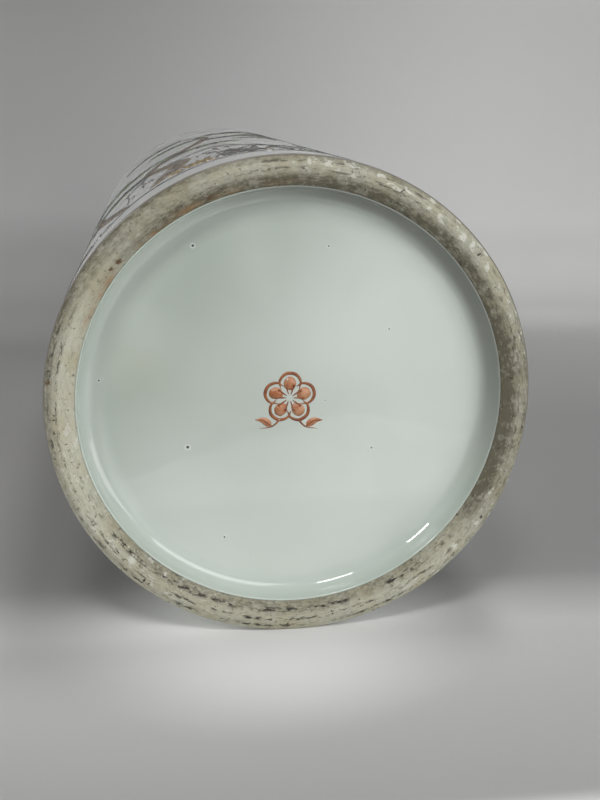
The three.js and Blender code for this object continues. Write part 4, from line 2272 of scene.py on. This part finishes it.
def from_foot(turn: float, tilt: float, reach: float) -> Vector:
    """A place in front of the foot, on the camera's side.

    Args:
        turn: degrees anticlockwise from the photograph's right.
        tilt: degrees away from the stand's axis.
        reach: distance in metres.

    Returns:
        The place in metres.
    """
    turn, tilt = math.radians(turn), math.radians(tilt)
    aside = math.sin(tilt)
    return Vector((aside * math.cos(turn), -aside * math.sin(turn), -math.cos(tilt))) * reach


LAMPS = (
    Lamp("key", from_foot(52, 48, 0.72), (0.50, 0.38), 2.3),
    Lamp("window", from_foot(140, 55, 0.70), (0.12, 0.16), 1.6),
    Lamp("top", from_foot(102, 55, 0.70), (0.15, 0.15), 1.25),
    Lamp("right", from_foot(-10, 60, 0.42), (0.30, 0.30), 0.85),
    Lamp("paper_light", Vector((0.15, -0.90, 0.16)), (0.22, 0.22), 5.0, Vector((0.0, 0.0, 0.1)),
         "paper_sweep"),
    Lamp("far_left", Vector((-0.75, 0.55, 0.45)), (0.60, 0.60), 9.0, Vector((0.0, 0.0, 0.14))),
    Lamp("far_right", Vector((0.45, 0.85, 0.75)), (0.60, 0.60), 8.0, Vector((0.0, 0.0, 0.14))),
)


@dataclass(frozen=True)
class PhotoCamera:
    """The photograph's camera, in the stand's frame: below the foot, looking up into the base."""

    place: Vector = Vector((-34.3, -69.6, -256.4))
    forward: Vector = Vector((0.134, 0.2546, 0.958))
    up: Vector = Vector((0.0, -0.966, 0.257))
    lens: float = 49.5
    sensor: float = 36.0

    def build(self) -> None:
        """Adds the camera and makes it the scene's."""
        data = bpy.data.cameras.new("photo_camera")
        data.lens, data.sensor_width, data.sensor_fit = self.lens, self.sensor, "AUTO"
        data.clip_start, data.clip_end = 0.01, 20.0
        camera = bpy.data.objects.new("photo_camera", data)
        ahead = self.forward.normalized()
        right = ahead.cross(self.up).normalized()
        top = right.cross(ahead)
        turn = Matrix((right, top, -ahead)).transposed()
        camera.matrix_world = Matrix.Translation(self.place * MM) @ turn.to_4x4()
        bpy.context.scene.collection.objects.link(camera)
        bpy.context.scene.camera = camera


def set_world(strength: float, light: Color, shown: Color, dim: Color) -> None:
    """Lights the stand from all round and shows a pale background, dim in front of the foot.

    Args:
        strength: of the light on the stand.
        light: its colour.
        shown: the colour that the camera and reflections see.
        dim: the colour seen below the foot, as of the room behind the camera.
    """
    world = bpy.data.worlds.new("studio")
    bpy.context.scene.world = world
    world.use_nodes = True
    world.node_tree.nodes.clear()
    graph = Graph(world.node_tree)
    path = graph.node("LightPath")
    seen = graph.math("MAXIMUM", path.outputs["Is Camera Ray"], path.outputs["Is Transmission Ray"])
    seen = graph.math("MAXIMUM", seen, path.outputs["Is Glossy Ray"])
    _, _, upwards = graph.parts(graph.node("TexCoord").outputs["Generated"])
    ambient, backdrop, blend = graph.node("Background"), graph.node("Background"), graph.node("MixShader")
    graph.feed(ambient.inputs["Color"], light)
    ambient.inputs["Strength"].default_value = strength
    graph.feed(backdrop.inputs["Color"], graph.mix(graph.fade(upwards, -0.80, -0.55), dim, shown))
    graph.feed(blend.inputs[0], seen)
    graph.feed(blend.inputs[1], ambient.outputs[0])
    graph.feed(blend.inputs[2], backdrop.outputs[0])
    graph.feed(graph.node("OutputWorld").inputs[0], blend.outputs[0])


PASTE = ClaySurface("paste", (0.74, 0.73, 0.69), (0.62, 0.60, 0.55), 500.0)
SLIP = ClaySurface("slip", (0.68, 0.67, 0.62), (0.55, 0.53, 0.47), 800.0)


def dress_hidden_clay(paste: bpy.types.Material, slip: bpy.types.Material) -> None:
    """Gives the clay under the glaze its finish.

    Args:
        paste: material of the thrown and rolled pieces.
        slip: material of the seams.
    """
    finishes = {"base_disc": paste, "lower_drum": paste, "upper_drum": paste, "under_base_slip": slip,
                "inner_base_slip": slip, "wall_seam_slip": slip}
    for node, material in finishes.items():
        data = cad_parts[node].data
        data.materials.clear()
        data.materials.append(material)
        log.info("%s: dressed", node)


def main() -> None:
    """Builds the stand's visible pieces, then the stage, the lamps and the camera."""
    logging.basicConfig(level=logging.INFO, format="%(message)s")
    bpy.context.scene.view_settings.view_transform = "Standard"
    sizes = StandSizes.from_part()
    groups = SharedGroups()
    wall_glaze = WallGlazeFinish(groups).build()
    dress_hidden_clay(ClayFinish(groups, PASTE).build(), ClayFinish(groups, SLIP).build())
    FootRing(sizes).build(BiscuitFinish(groups).build())
    BaseGlaze(sizes).build(BaseGlazeFinish(groups, sizes).build())
    OuterGlaze(sizes).build(PaintedGlazeFinish(groups, sizes, WASHES).build())
    MouthRim(sizes).build(wall_glaze)
    InnerGlaze(sizes).build(wall_glaze)
    enamels = {pigment: EnamelFinish(groups, pigment, tones).build() for pigment, tones in ENAMELS.items()}
    WallPainting(sizes).paint(enamels)
    BaseOrnament(sizes).paint(enamels)
    Stage(sizes).build()
    for lamp in LAMPS:
        lamp.build()
    set_world(0.12, (1.0, 1.0, 0.99), (0.62, 0.62, 0.61), (0.14, 0.14, 0.14))
    PhotoCamera().build()


if __name__ == "__main__":
    main()
